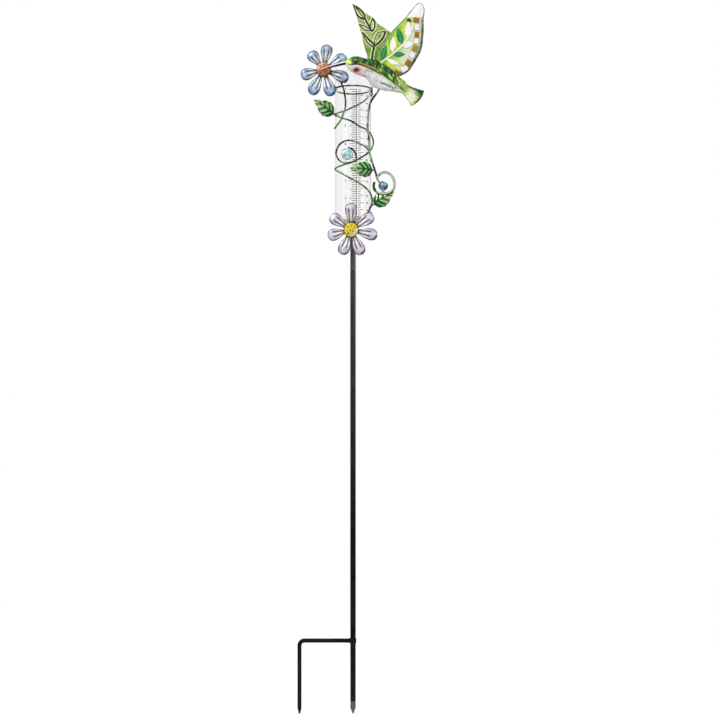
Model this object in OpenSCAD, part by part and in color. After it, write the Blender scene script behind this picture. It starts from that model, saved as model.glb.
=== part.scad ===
// Rain gauge on a garden stake. A graduated glass tube lifts out of a cage of wire vines that
// carries two stamped flowers, three leaves, two glass stones and a hummingbird.
// Units are millimetres. The origin is on the stake's axis at the ground line, +Z is up, and
// the decorated side faces -Y. Angles round the tube start at the front and grow towards +X.

/* [Stake] */
// Outside diameter of both stake tubes
stake_d = 7.9; // [7:0.1:10]
// Wall of both stake tubes
stake_wall = 1.2; // [1:0.1:1.5]
// Height of the lower stake above the ground
stake_h = 527; // [300:1:700]
// Depth of the stake below the ground
spike_depth = 100; // [80:1:140]
// Diameter of the side prong's rod
prong_d = 6; // [4:0.5:7]
// Distance between the stake and the side prong
prong_gap = 76; // [50:1:100]

/* [Stake joint] */
// Length of the coupling pin in each tube
pin_reach = 25; // [15:1:40]
// Radial running clearance of the coupling pin
pin_clearance = 0.05; // [0.02:0.01:0.08]
// Length of the upper stake tube
socket_h = 70; // [60:1:90]

/* [Rain tube] */
// Outside diameter of the glass tube
tube_d = 50.8; // [46:0.2:56]
// Length of the glass tube
tube_h = 219; // [205:1:240]
// Wall of the glass tube
tube_wall = 2; // [1.5:0.1:3]
// Inches that the scale reads
scale_inches = 7; // [4:1:7]

/* [Wire cage] */
// Diameter of the ring and vine wire
vine_d = 2.4; // [1.8:0.1:3]
// Diameter of the stem wire that carries the bird
stem_d = 3; // [2.4:0.1:3.6]
// Gap between the glass and the wire
cage_gap = 0.6; // [0.4:0.1:1.2]
// Height of the ring above the tube's underside
ring_h = 185; // [175:1:195]

/* [Flowers and leaves] */
// Radius of a flower at its petal tips
flower_r = 37; // [33:0.5:40]
// Width of a petal
petal_w = 16.4; // [13:0.2:18]
// Petals on each flower
petals = 7; // [6:1:8]
// Length of a leaf
leaf_l = 34; // [28:1:38]
// Width of a leaf
leaf_w = 20; // [16:1:22]

/* [Hidden] */
$fn = 64;

// Stake and joint
bore_r = stake_d / 2 - stake_wall;
pin_r = bore_r - pin_clearance;
collar_h = 1.2;
collar_r = pin_r + 0.9;
weld_r = stake_d / 2 + 0.8;
prong_bend_r = 7;
point_h = 7;
tip_h = 18;
tip_flat_r = 0.8;
plug_h = 14;

// Cup and tube
cup_floor = 1.8;
cup_wall = 1;
cup_lip = 3;
drain_r = 2.5;
drain_ring_r = 14;
tube_r = tube_d / 2;
tube_floor = 2.2;
gauge_z = stake_h + collar_h + socket_h + cup_floor;

// Printed scale
inch = 25.4;
print_t = 0.12;
mark_t = 0.8;
scale_angle = 12;

// Wire cage
vine_r = vine_d / 2;
stem_r = stem_d / 2;
curl_r = 1.4;
cage_r = tube_r + cage_gap + vine_r;
// Depth that soldered wires sink into each other
solder = 0.2;
front_r = cage_r + 2 * vine_r - solder;
wire_sides = 8;
wire_steps = 4;
clasp_angle = 66;

// Flowers
sheet_t = 1.2;
disc_r = 10.3;
disc_rise = 5;
rivet_r = 1.5;
rivet_grip = 3;
bracket_t = 1.2;
flower_y = -32;
purple_at = [-2.6, flower_y, -17.5];
blue_at = [-40.6, flower_y, 205.7];

// Bird
bird_at = [-10.9, -39, 213.4];
bird_depth = 8.5;
bird_steps = 3;

// --- curves -----------------------------------------------------------------------------

function unit(v) = v / norm(v);

// A point of the smooth curve from b to c, with neighbours a and d
function between(a, b, c, d, t) =
    0.5 * (2 * b + (c - a) * t + (2 * a - 5 * b + 4 * c - d) * t * t
        + (3 * b - a - 3 * c + d) * t * t * t);

// A smooth curve through the points, with n steps from each point to the next
function smooth(p, n) = let(last = len(p) - 1) concat(
    [for (i = [0:last - 1], k = [0:n - 1])
        between(p[max(i - 1, 0)], p[i], p[i + 1], p[min(i + 2, last)], k / n)],
    [p[last]]);

// A point at an angle round the tube, a height above its underside and a radius
function around(p) = [p[2] * sin(p[0]), -p[2] * cos(p[0]), p[1]];

// A path given by [angle, height, radius] points
function wrapped(p) = [for (q = smooth(p, wire_steps)) around(q)];

function heading(path, i) =
    unit(path[min(i + 1, len(path) - 1)] - path[max(i - 1, 0)]);

// The side direction at each point, carried along the path with the least twist
function sides(path, i, last) = i == len(path) ? [] :
    let(t = heading(path, i), s = unit(last - (last * t) * t))
    concat([s], sides(path, i + 1, s));

// --- solids from curves -----------------------------------------------------------------

// A closed solid through rings that all have the same number of points
module skin(rings) {
    n = len(rings[0]);
    m = len(rings);
    points = [for (ring = rings, p = ring) p];
    walls = [for (i = [0:m - 2], k = [0:n - 1], half = [0, 1])
        let(a = i * n + k, b = i * n + (k + 1) % n)
        half == 0 ? [a, b, b + n] : [a, b + n, a + n]];
    first = [for (k = [n - 1:-1:0]) k];
    last = [for (k = [0:n - 1]) (m - 1) * n + k];
    polyhedron(points, concat([first], walls, [last]), convexity = 6);
}

// A round wire along a path
module wire(path, r) {
    s = sides(path, 0, [0.2, 0.3, 0.9]);
    skin([for (i = [0:len(path) - 1])
        let(t = heading(path, i), a = s[i], b = cross(a, t))
        [for (k = [0:wire_sides - 1])
            path[i] + r * (cos(k * 360 / wire_sides) * a + sin(k * 360 / wire_sides) * b)]]);
}

// Places its children with heights measured from the tube's underside
module on_gauge() {
    translate([0, 0, gauge_z]) children();
}

// Turns a flat shape in XY to stand in the XZ plane and face -Y, t thick about y = 0
module standing(t) {
    rotate([90, 0, 0]) linear_extrude(t, center = true) children();
}

// --- stake ------------------------------------------------------------------------------

module stake_tube() {
    color("#1c1b1b") difference() {
        union() {
            translate([0, 0, -spike_depth + tip_h])
                cylinder(r = stake_d / 2, h = spike_depth - tip_h + stake_h);
            cylinder(r = weld_r, h = prong_d);
        }
        translate([0, 0, -spike_depth])
            cylinder(r = bore_r, h = spike_depth + stake_h + 1);
    }
}

// The pointed plug that closes the bottom of the stake
module spike_tip() {
    color("#51434a") translate([0, 0, -spike_depth]) {
        cylinder(r1 = tip_flat_r, r2 = stake_d / 2, h = point_h);
        translate([0, 0, point_h]) cylinder(r = stake_d / 2, h = tip_h - point_h);
        translate([0, 0, tip_h]) cylinder(r = bore_r, h = plug_h);
    }
}

module side_prong() {
    r = prong_d / 2;
    color("#1c1b1b") translate([0, 0, r]) {
        translate([-prong_gap + prong_bend_r, 0, 0]) rotate([0, 90, 0])
            cylinder(r = r, h = prong_gap - prong_bend_r - weld_r + 1);
        translate([-prong_gap + prong_bend_r, 0, -prong_bend_r]) rotate([90, 0, 0])
            rotate([0, 0, 90]) rotate_extrude(angle = 90) translate([prong_bend_r, 0]) circle(r);
        translate([-prong_gap, 0, -spike_depth - r + point_h])
            cylinder(r = r, h = spike_depth + r - point_h - prong_bend_r);
        translate([-prong_gap, 0, -spike_depth - r])
            cylinder(r1 = r * 0.4, r2 = r, h = point_h);
    }
}

// Loose pin that joins the two tubes; its collar sets the gap between them
module coupling_pin() {
    chamfer = 0.8;
    color("#2a2a2a") translate([0, 0, stake_h]) {
        translate([0, 0, -pin_reach + chamfer])
            cylinder(r = pin_r, h = 2 * (pin_reach - chamfer) + collar_h);
        translate([0, 0, -pin_reach])
            cylinder(r1 = pin_r - chamfer, r2 = pin_r, h = chamfer);
        translate([0, 0, pin_reach + collar_h - chamfer])
            cylinder(r1 = pin_r, r2 = pin_r - chamfer, h = chamfer);
        cylinder(r = collar_r, h = collar_h);
    }
}

module socket_tube() {
    color("#232223") translate([0, 0, stake_h + collar_h]) difference() {
        cylinder(r = stake_d / 2, h = socket_h);
        translate([0, 0, -1]) cylinder(r = bore_r, h = socket_h + 2);
    }
}

// --- cup, tube and scale ----------------------------------------------------------------

module tube_cup() {
    inner_r = tube_r + cage_gap;
    color("#b4b8b4") on_gauge() difference() {
        translate([0, 0, -cup_floor])
            cylinder(r = inner_r + cup_wall, h = cup_floor + cup_lip);
        cylinder(r = inner_r, h = cup_lip + 1);
        for (a = [60:120:300]) rotate([0, 0, a])
            translate([drain_ring_r, 0, -cup_floor - 1]) cylinder(r = drain_r, h = cup_floor + 2);
    }
}

// Straight tube with a flat floor, rounded at the bottom edge and at the lip
module rain_tube() {
    lip_r = tube_wall / 2;
    foot_r = 1.5;
    inner = tube_r - tube_wall;
    foot = [for (a = [-90:22.5:0]) [tube_r - foot_r + foot_r * cos(a), foot_r + foot_r * sin(a)]];
    lip = [for (a = [0:22.5:180]) [inner + lip_r + lip_r * cos(a), tube_h - lip_r + lip_r * sin(a)]];
    color("#e8eeee", 0.35) on_gauge() rotate_extrude($fn = 128)
        polygon(concat([[0, 0]], foot, lip, [[inner, tube_floor], [0, tube_floor]]));
}

// Points of the inch scale's comb: an upright line with a tooth to the left at each eighth
function inch_comb() = let(
    lengths = [9.5, 6.5, 6.5, 6.5, 8, 6.5, 6.5, 6.5],
    half = mark_t / 2,
    top = tube_floor + scale_inches * inch + half)
    concat([[half, top], [half, 0.5], [-half, 0.5]],
        [for (i = [0:scale_inches * 8], p = [[0, -1], [1, -1], [1, 1], [0, 1]])
            [-half - p[0] * lengths[i % 8], tube_floor + i * inch / 8 + p[1] * half]]);

// The inch comb, and a dash to its right every 2.5 mm, longer at each 10 mm
module scale_print() {
    dash_step = 2.5;
    dash_x = 2.4;
    short_dash = 3.6;
    long_dash = 7.4;
    color("#3a3838") on_gauge() rotate([0, 0, scale_angle]) intersection() {
        difference() {
            cylinder(r = tube_r + 0.02 + print_t, h = tube_h);
            translate([0, 0, -1]) cylinder(r = tube_r + 0.02, h = tube_h + 2);
        }
        translate([0, -tube_r / 2, 0]) rotate([90, 0, 0]) linear_extrude(tube_r) {
            polygon(inch_comb());
            for (i = [1:scale_inches * inch / dash_step])
                translate([dash_x, tube_floor + i * dash_step - mark_t / 2])
                    square([i % 4 == 0 ? long_dash : short_dash, mark_t]);
        }
    }
}

// --- wire cage --------------------------------------------------------------------------

module top_ring() {
    color("#5c7d5c") on_gauge() translate([0, 0, ring_h])
        rotate_extrude() translate([cage_r, 0]) circle(vine_r, $fn = 24);
}

// Short upright wire that ties the vine's end to the ring
module ring_clasp() {
    drop = 9;
    color("#2c332c") on_gauge() rotate([0, 0, clasp_angle])
        translate([0, -cage_r - 2 * vine_r + solder, ring_h + vine_r - drop]) {
            cylinder(r = vine_r, h = drop, $fn = 24);
            translate([0, 0, drop]) sphere(vine_r, $fn = 24);
            sphere(vine_r, $fn = 24);
        }
}

// From the bird's belly down the right-hand side to the blue stone
module stem() {
    path = [
        [37.6, -37.4, 180.5], [34.3, -35.2, 174.1], [29.4, -32.5, 168.1], [24.7, -28.5, 160.9],
        [22.4, -24, 152.3], [21.4, -21.5, 140.9], [20.6, -21.5, 128.3], [22, -20.3, 116.1],
        [22.9, -19.3, 103.8], [23.3, -18.6, 94.9], [25.1, -18, 86], [27.8, -17.6, 77.1],
        [30.5, -17.2, 69.2], [32.3, -17, 63.7], [33.8, -17, 56.8], [37.6, -18, 50.4],
    ];
    color("#5f7a5a") on_gauge() wire(smooth(path, wire_steps), stem_r);
}

// One vine: behind the tube from the ring, then three sweeps across its front to the cup
module vine() {
    path = [
        [clasp_angle, ring_h - 4.5, cage_r], [100, 178.6, cage_r], [133, 175, cage_r],
        [176, 167, cage_r], [208, 160, cage_r], [245, 154.4, cage_r], [272, 151.2, cage_r],
        [296, 148.3, cage_r], [319, 141.7, cage_r], [350, 136.4, cage_r], [366, 132.3, cage_r],
        [382, 127.9, cage_r], [410, 123.8, cage_r], [432, 117.5, cage_r + 1],
        [441, 110, cage_r + 2], [433, 101.3, cage_r + 1], [419, 95.7, cage_r + 0.4],
        [402, 89.6, cage_r], [385, 84.9, cage_r], [368, 79.8, cage_r], [354.5, 77.4, cage_r],
        [339, 75.5, cage_r], [321.4, 73.8, cage_r], [301, 72.3, cage_r],
        [293, 70.6, cage_r + 0.4], [299, 68.8, cage_r], [325, 62.9, cage_r], [343, 57.9, cage_r],
        [358, 54.2, cage_r], [373, 50.7, cage_r], [393.3, 45.1, cage_r], [408, 41.1, cage_r],
        [425, 34.9, cage_r + 0.6], [438, 27.8, cage_r + 0.6], [435.5, 22.7, cage_r + 0.6],
        [418, 14.1, cage_r + 0.6], [407, 7.1, cage_r + 0.4], [401, 2, cage_r + 0.2],
    ];
    color("#6d9464") on_gauge() wire(wrapped(path), vine_r);
}

// From the back of the blue flower down to the left edge of the tube
module flower_stem() {
    path = [
        [-29, 189.5, 35], [-24.6, 180, 31.4], [-22.6, 171.6, front_r], [-20.3, 160.3, front_r],
        [-23.2, 150.7, front_r], [-29.2, 143.3, front_r], [-37.4, 136, front_r],
        [-56, 129.6, front_r - 0.6], [-68, 127.8, cage_r + 0.8],
    ];
    color("#5f7a5a") on_gauge() wire(wrapped(path), vine_r);
}

// Short wire from the back of the blue flower to the ring
module flower_tie() {
    path = [[-37, -30.6, 199], [-33.5, -27.5, 194], [-29, -20.5, 188.6], [-25, -13.2, 186.2]];
    color("#30352f") on_gauge() wire(smooth(path, wire_steps), vine_r);
}

// Spiral that starts on the stem and holds the turquoise stone
module stone_loop() {
    path = [
        [49, 95.6, front_r], [34.7, 100.4, front_r], [19.5, 103.4, front_r],
        [7.1, 106.2, front_r], [-8.5, 108.1, front_r], [-26.4, 106.8, front_r],
        [-43.5, 101.5, front_r], [-54, 92.2, front_r], [-43.5, 82.8, front_r],
        [-24.6, 76.9, front_r], [-5, 77.4, front_r], [8.2, 81.6, front_r],
        [8, 87.9, front_r + 1.2], [-0.4, 94.8, front_r + 2.6], [-13, 97.4, front_r + 3.4],
    ];
    color("#557055") on_gauge() wire(wrapped(path), vine_r);
}

// Open hoop round the blue stone, fixed to the stem
module side_curl() {
    y = -17.4;
    path = [
        [33.3, y, 56.8], [38.6, y, 63.2], [45.1, y, 65.3], [52.7, y, 62.1], [57.4, y, 53.9],
        [58, y, 45.9], [54.8, y, 39.4], [47.4, y, 35.4], [38.4, y, 35.4], [31.4, y, 39.6],
        [29.1, y, 45.9], [30.4, y, 52],
    ];
    color("#7fa087") on_gauge() wire(smooth(path, wire_steps), curl_r);
}

// --- stones -----------------------------------------------------------------------------

// Flattened glass pebble, round about y
module turquoise_stone() {
    r = 8.6;
    half = 3.4;
    steps = 8;
    side = [for (i = [0:steps]) let(a = -90 + i * 180 / steps)
        [r - half * 0.7 * (1 - cos(a)), half * sin(a)]];
    color("#9fdde0", 0.8) on_gauge() translate([-7.9, -32.2, 88.4]) rotate([90, 0, 0])
        rotate_extrude() polygon(concat([[0, -half]], side, [[0, half]]));
}

module blue_stone() {
    color("#1d4a66", 0.9) on_gauge() translate([42.6, -18.6, 46]) sphere(7);
}

// --- leaves -----------------------------------------------------------------------------

// Pointed oval from the stalk at the origin to the tip along +X
function leaf_edge() = smooth([
    [0, 0], [leaf_l * 0.09, leaf_w * 0.34], [leaf_l * 0.34, leaf_w * 0.5],
    [leaf_l * 0.68, leaf_w * 0.34], [leaf_l, 0]], 4);

// A leaf plate with its stalk, aimed at an angle above +X and swung about Z
module leaf(at, aim, swing, stalk) {
    edge = leaf_edge();
    color("#3f9a45") on_gauge() translate(at) rotate([0, -aim, swing]) {
        standing(sheet_t)
            polygon(concat(edge, [for (i = [len(edge) - 2:-1:1]) [edge[i][0], -edge[i][1]]]));
        translate([-stalk, 0, 0]) rotate([0, 90, 0]) cylinder(r = 0.9, h = stalk + 4, $fn = 16);
    }
}

module leaf_left() {
    leaf([-27.4, -16.6, 147.1], 144.6, 6, 6);
}

module leaf_middle() {
    leaf([27.6, -20.2, 67.6], 178, 21, 5.4);
}

module leaf_right() {
    leaf([29.7, -14.2, 20.6], 33, 4, 8.4);
}

// --- flowers ----------------------------------------------------------------------------

// How each petal is bent by hand: degrees sideways, and its reach as a share of flower_r
blue_bends = [[-1, 0.95], [-5, 0.85], [11, 0.89], [7, 1.05], [-1, 1.04], [-1, 1], [0, 0.99]];
purple_bends = [[0, 1.02], [4, 0.94], [3, 0.91], [5, 0.99], [-2, 1.02], [0, 1.02], [-5, 1.01]];

function turned(p, a) = [p[0] * cos(a) - p[1] * sin(a), p[0] * sin(a) + p[1] * cos(a)];

// Outline of one petal along +X, from the notch before it to just short of the next notch
function petal(tip, notch) = let(
    half = smooth([[disc_r, 3.4], [tip * 0.62, petal_w * 0.46],
        [tip * 0.8, petal_w * 0.5], [tip * 0.95, petal_w * 0.33], [tip, 0]], 4))
    concat([turned([disc_r * 0.8, 0], notch)],
        [for (p = half) [p[0], -p[1]]], [for (i = [len(half) - 2:-1:0]) half[i]]);

// Direction of a petal, where petal -1 is the last one, a turn earlier
function petal_angle(i, bends) = i * 360 / petals + bends[(i + petals) % petals % len(bends)][0];

module petal_wheel(at, start, bends) {
    outline = [for (i = [0:petals - 1])
        let(angle = petal_angle(i, bends), notch = (petal_angle(i - 1, bends) - angle) / 2)
        for (p = petal(flower_r * bends[i % len(bends)][1], notch)) turned(p, start + angle)];
    on_gauge() translate(at) difference() {
        standing(sheet_t) polygon(outline);
        rotate([90, 0, 0]) cylinder(r = rivet_r, h = 4 * sheet_t, center = true);
    }
}

// Domed disc in front of the petals, with a blind hole for the rivet
module disc(at) {
    ball_r = (disc_r * disc_r + disc_rise * disc_rise) / (2 * disc_rise);
    on_gauge() translate(at + [0, -sheet_t / 2, 0]) rotate([90, 0, 0]) difference() {
        intersection() {
            translate([0, 0, disc_rise - ball_r]) sphere(ball_r, $fn = 96);
            cylinder(r = disc_r + 1, h = disc_rise + 1);
        }
        translate([0, 0, -1]) cylinder(r = rivet_r, h = 1 + rivet_grip);
    }
}

// Rivet from behind the petals into the disc
module rivet(at, back) {
    head_r = rivet_r + 0.8;
    head_h = 0.9;
    color("#8a6a3a") on_gauge() translate(at) rotate([90, 0, 0]) {
        translate([0, 0, -back]) cylinder(r = rivet_r - 0.02, h = back + sheet_t / 2 + rivet_grip - 0.2);
        translate([0, 0, -back - head_h]) cylinder(r = head_r, h = head_h);
    }
}

module purple_petals() {
    color("#b9a3c9") petal_wheel(purple_at, 90, purple_bends);
}

module purple_disc() {
    color("#d9c22c") disc(purple_at);
}

module purple_rivet() {
    rivet(purple_at, sheet_t / 2 + bracket_t);
}

module blue_petals() {
    color("#7f9fca") petal_wheel(blue_at, 82, blue_bends);
}

module blue_disc() {
    color("#d98a55") disc(blue_at);
}

module blue_rivet() {
    rivet(blue_at, sheet_t / 2);
}

// Arm from the upper stake tube to a round pad behind the purple flower
module flower_bracket() {
    pad_r = 6;
    arm_r = 1.4;
    drop = 3.6;
    pad_y = purple_at[1] + sheet_t / 2 + bracket_t;
    color("#2a2a2a") on_gauge() translate([0, 0, purple_at[2]]) {
        translate([0, -stake_d / 2 + 0.8, -drop]) rotate([90, 0, 0])
            cylinder(r = arm_r, h = -pad_y - stake_d / 2 + 0.8 + bracket_t / 2, $fn = 32);
        translate([purple_at[0], pad_y, 0]) rotate([90, 0, 0]) difference() {
            cylinder(r = pad_r, h = bracket_t);
            translate([0, 0, -1]) cylinder(r = rivet_r, h = bracket_t + 2);
        }
    }
}

// --- bird -------------------------------------------------------------------------------

// Outlines of the body from the beak to the tail, seen from the front, and its half depth
bird_top = smooth([[0, 2], [5, 5.8], [16, 9.2], [30, 5.4], [45, 2.6], [60, -4.6], [72, -16.5],
    [86, -28]], bird_steps);
bird_bottom = smooth([[0, -1.5], [7, -10.5], [18, -16.4], [29, -20.8], [38, -31.6], [53, -37.8],
    [70, -39.8], [83, -42]], bird_steps);
bird_half = smooth([0.2, 0.62, 0.92, 0.94, 1, 0.92, 0.66, 0.36], bird_steps);
// Where the green back ends and the white breast starts, as a share of the way down
bird_parting = smooth([0.5, 0.6, 0.52, 0.52, 0.49, 0.58, 0.73, 0.96], bird_steps);

// Point of body section i at an angle from its top, 0 at the top and 180 at the bottom
function on_bird(i, a) = let(
    middle = (bird_top[i] + bird_bottom[i]) / 2,
    rise = (bird_top[i] - bird_bottom[i]) / 2)
    [middle[0] + rise[0] * cos(a), bird_depth * bird_half[i] * sin(a),
        middle[1] + rise[1] * cos(a)];

// Part of each body section between two signs of the parting angle
module body_part(upper) {
    steps = 10;
    skin([for (i = [0:len(bird_top) - 1])
        let(part = acos(1 - 2 * bird_parting[i]),
            from = upper ? -part : part,
            to = upper ? part : 360 - part)
        [for (k = [0:steps]) on_bird(i, from + (to - from) * k / steps)]]);
}

module bird_back() {
    color("#3c8d2f") on_gauge() translate(bird_at) body_part(true);
}

module bird_breast() {
    color("#f1efee") on_gauge() translate(bird_at) body_part(false);
}

// Flared tail plate with a shallow fork
module bird_tail() {
    edge = concat(
        smooth([[79, -23.8], [90, -31.6], [100, -35.4], [110, -38.4]], 4),
        smooth([[105.8, -49], [99.4, -55], [92, -59.8]], 4),
        smooth([[88.4, -54], [84.6, -48.4], [79, -42]], 4));
    color("#7bbd35") on_gauge() translate(bird_at) standing(3.2) polygon(edge);
}

module bird_beak() {
    tip = [-38, -5.6, -12.6];
    color("#4a4644") on_gauge() translate(bird_at) rotate([0, 0, atan2(tip[1], tip[0])])
        rotate([0, 90 - atan2(tip[2], norm([tip[0], tip[1]])), 0])
            translate([0, 0, -1.5]) cylinder(r1 = 1.8, r2 = 0.5, h = norm(tip) + 1.5, $fn = 24);
}

module bird_eyes() {
    color("#15171a") on_gauge() translate(bird_at)
        for (side = [-1, 1]) translate([15, side * 7.3, 1.2]) sphere(1.9, $fn = 24);
}

// Outlines of the wings, from the root, round the tip and back along the trailing edge
near_edge = smooth([[43, 4], [52, 20], [63, 38], [84.2, 59.6], [97.6, 75.5], [103.3, 78.3],
    [107.2, 75.5], [108.6, 68], [107, 56], [107.1, 44.6], [106.2, 31.5], [104.8, 20.2],
    [101, 10.7], [95.3, 1.2], [88.5, -9.3], [80.8, -14.9], [72.9, -16.7], [58, -8]], 3);
far_edge = concat(
    smooth([[31, 0], [30.6, 12], [27.2, 23], [22.2, 42.8], [16.4, 65.7], [10.4, 83.5]], 3),
    smooth([[13, 84], [18.3, 81.6], [26.3, 73.7], [32, 68.7], [38.9, 64.7], [44.8, 56.7],
        [53.6, 50.9], [60.5, 45.8], [63, 41.8], [56, 24], [44, -2]], 3));
near_tilt = 9;
far_tilt = -3;

module wing_near() {
    color("#a9cf5a", 0.9) on_gauge() translate(bird_at + [0, -4, 0])
        rotate([near_tilt, 0, 0]) standing(1.6) polygon(near_edge);
}

module wing_near_rim() {
    rim = [for (i = [2:len(near_edge) - 6]) [near_edge[i][0], 0, near_edge[i][1]]];
    color("#8f9088") on_gauge() translate(bird_at + [0, -4, 0])
        rotate([near_tilt, 0, 0]) wire(rim, 1.1);
}

module wing_far() {
    color("#8fb23c") on_gauge() translate(bird_at + [0, 3.2, 0])
        rotate([far_tilt, 0, 0]) standing(1.4) polygon(far_edge);
}

// --- nodes ------------------------------------------------------------------------------

stake_tube();
spike_tip();
side_prong();
coupling_pin();
socket_tube();
tube_cup();
rain_tube();
scale_print();
top_ring();
ring_clasp();
stem();
vine();
flower_stem();
flower_tie();
stone_loop();
side_curl();
turquoise_stone();
blue_stone();
leaf_left();
leaf_middle();
leaf_right();
flower_bracket();
purple_petals();
purple_disc();
purple_rivet();
blue_petals();
blue_disc();
blue_rivet();
bird_back();
bird_breast();
bird_tail();
bird_beak();
bird_eyes();
wing_near();
wing_near_rim();
wing_far();
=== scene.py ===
"""Looks for the rain gauge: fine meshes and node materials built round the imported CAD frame.

Lengths are in millimetres until a mesh is made. Heights on the gauge are measured from the
underside of the glass tube. Angles round the tube start at the front and grow towards +X.
Points of the bird are measured from the root of its beak, x towards the tail and z up.
"""

import math

import bmesh
import bpy
import numpy as np
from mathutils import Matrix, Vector


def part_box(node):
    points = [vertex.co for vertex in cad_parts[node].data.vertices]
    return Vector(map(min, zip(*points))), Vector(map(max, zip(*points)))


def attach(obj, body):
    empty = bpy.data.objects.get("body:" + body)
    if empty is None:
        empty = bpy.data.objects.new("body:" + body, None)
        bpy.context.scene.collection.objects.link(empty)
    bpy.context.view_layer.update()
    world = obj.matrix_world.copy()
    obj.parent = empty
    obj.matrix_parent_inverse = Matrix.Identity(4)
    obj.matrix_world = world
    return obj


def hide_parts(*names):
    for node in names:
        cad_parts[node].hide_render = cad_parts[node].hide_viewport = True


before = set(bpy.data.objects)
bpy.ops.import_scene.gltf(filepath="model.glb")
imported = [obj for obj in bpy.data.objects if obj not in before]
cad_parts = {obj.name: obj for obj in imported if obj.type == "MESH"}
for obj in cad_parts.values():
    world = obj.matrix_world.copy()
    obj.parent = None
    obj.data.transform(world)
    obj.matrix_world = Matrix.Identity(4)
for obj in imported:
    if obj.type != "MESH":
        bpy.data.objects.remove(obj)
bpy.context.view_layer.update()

MM = 0.001


def box_mm(node):
    """Lowest and highest corner of a CAD node in millimetres."""
    low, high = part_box(node)
    return np.array(low) / MM, np.array(high) / MM


def middle(node):
    """Centre of a CAD node in millimetres."""
    low, high = box_mm(node)
    return (low + high) / 2


def flower_centre(colour):
    """Middle of a flower's disc, at the depth of its petals."""
    centre = middle(colour + "_disc")
    centre[1] = middle(colour + "_petals")[1]
    return centre


# Sizes and places read from the frame
tube_low, tube_high = box_mm("rain_tube")
BASE = tube_low[2]
TUBE_R = (tube_high[0] - tube_low[0]) / 2
ring_low, ring_high = box_mm("top_ring")
WIRE_R = (ring_high[2] - ring_low[2]) / 2
RING_H = (ring_high[2] + ring_low[2]) / 2 - BASE
CAGE_R = (ring_high[0] - ring_low[0]) / 2 - WIRE_R
FRONT_R = CAGE_R + 2 * WIRE_R - 0.2
STEM_R = 1.5
PRONG_R = 3
EYE_R = 2.1
PURPLE_AT, BLUE_AT = flower_centre("purple"), flower_centre("blue")
DISC_R = middle("blue_disc")[0] - box_mm("blue_disc")[0][0]
BEAK_ROOT_H = 213.4
BIRD_AT = np.array([box_mm("bird_back")[0][0], middle("bird_back")[1], BASE + BEAK_ROOT_H])
SPIKE_END = box_mm("side_prong")[0][2]

BLACK, WHITE = (0, 0, 0), (1, 1, 1)
FAR_AWAY = 1e9


# Curves and grids

def step(low, high, x):
    """Smooth step from 0 at low to 1 at high."""
    t = np.clip((x - low) / (high - low), 0, 1)
    return t * t * (3 - 2 * t)


def bell(x, centre, width):
    """Smooth hump of height 1 at the centre."""
    return np.exp(-(((x - centre) / width) ** 2))


def xyz(x, y, z):
    """Points from their coordinates, which are spread over each other's rows and columns."""
    return np.stack(np.broadcast_arrays(x, y, z), axis=-1)


def spot(x, z, centre, size, hardness=1):
    """Smooth oval hump of height 1, flatter on top and steeper at the side when harder."""
    away = ((x - centre[0]) / size[0]) ** 2 + ((z - centre[1]) / size[1]) ** 2
    return np.exp(-(away**hardness))


def circle(count):
    """Angles of a full turn, without its end."""
    return np.linspace(0, 2 * np.pi, count, endpoint=False)


def crowded(count):
    """Values from -1 to 1, closest together at both ends."""
    return np.sin(np.linspace(-np.pi / 2, np.pi / 2, count))


def grid(u, v):
    """The values u over rows and v over columns."""
    return np.meshgrid(u, v, indexing="ij")


def mix(a, b, t):
    """Colours a and b mixed by t, which has one value a point."""
    t = np.asarray(t, float)[..., None]
    return np.asarray(a, float) * (1 - t) + np.asarray(b, float) * t


def layered(colour, *layers):
    """The colour with layers painted over it, each a paint and its share at each point."""
    for paint, share in layers:
        colour = mix(colour, paint, share)
    return colour


def smooth(points, steps):
    """A smooth curve through the points, with some steps from each point to the next."""
    p = np.asarray(points, float)
    if p.ndim == 1:
        return smooth(p[:, None], steps)[:, 0]
    padded = np.vstack([p[:1], p, p[-1:]])
    a, b, c, d = (padded[i:len(p) - 1 + i, None, :] for i in range(4))
    t = (np.arange(steps) / steps)[None, :, None]
    curve = 0.5 * (2 * b + (c - a) * t + (2 * a - 5 * b + 4 * c - d) * t**2
                   + (3 * b - a - 3 * c + d) * t**3)
    return np.vstack([curve.reshape(-1, p.shape[1]), p[-1:]])


def lengths(curve):
    """Distance along a curve at each of its points."""
    return np.concatenate([[0], np.cumsum(np.linalg.norm(np.diff(curve, axis=0), axis=1))])


def even(curve, count):
    """The curve again, with its points at even distances."""
    along = lengths(curve)
    at = np.linspace(0, along[-1], count)
    return np.stack([np.interp(at, along, column) for column in curve.T], axis=1)


def around(points, radius=0):
    """Points round the tube, given as angle, height and distance outside the radius."""
    angle, height, out = np.asarray(points, float).T
    angle, out = np.radians(angle), out + radius
    return xyz(out * np.sin(angle), -out * np.cos(angle), BASE + height)


def turned(points, degrees, axis):
    """Points turned about a coordinate axis by the right-hand rule."""
    c, s = math.cos(math.radians(degrees)), math.sin(math.radians(degrees))
    i, j = [(1, 2), (2, 0), (0, 1)][axis]
    out = np.array(points, float)
    out[..., i] = c * points[..., i] - s * points[..., j]
    out[..., j] = s * points[..., i] + c * points[..., j]
    return out


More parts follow.
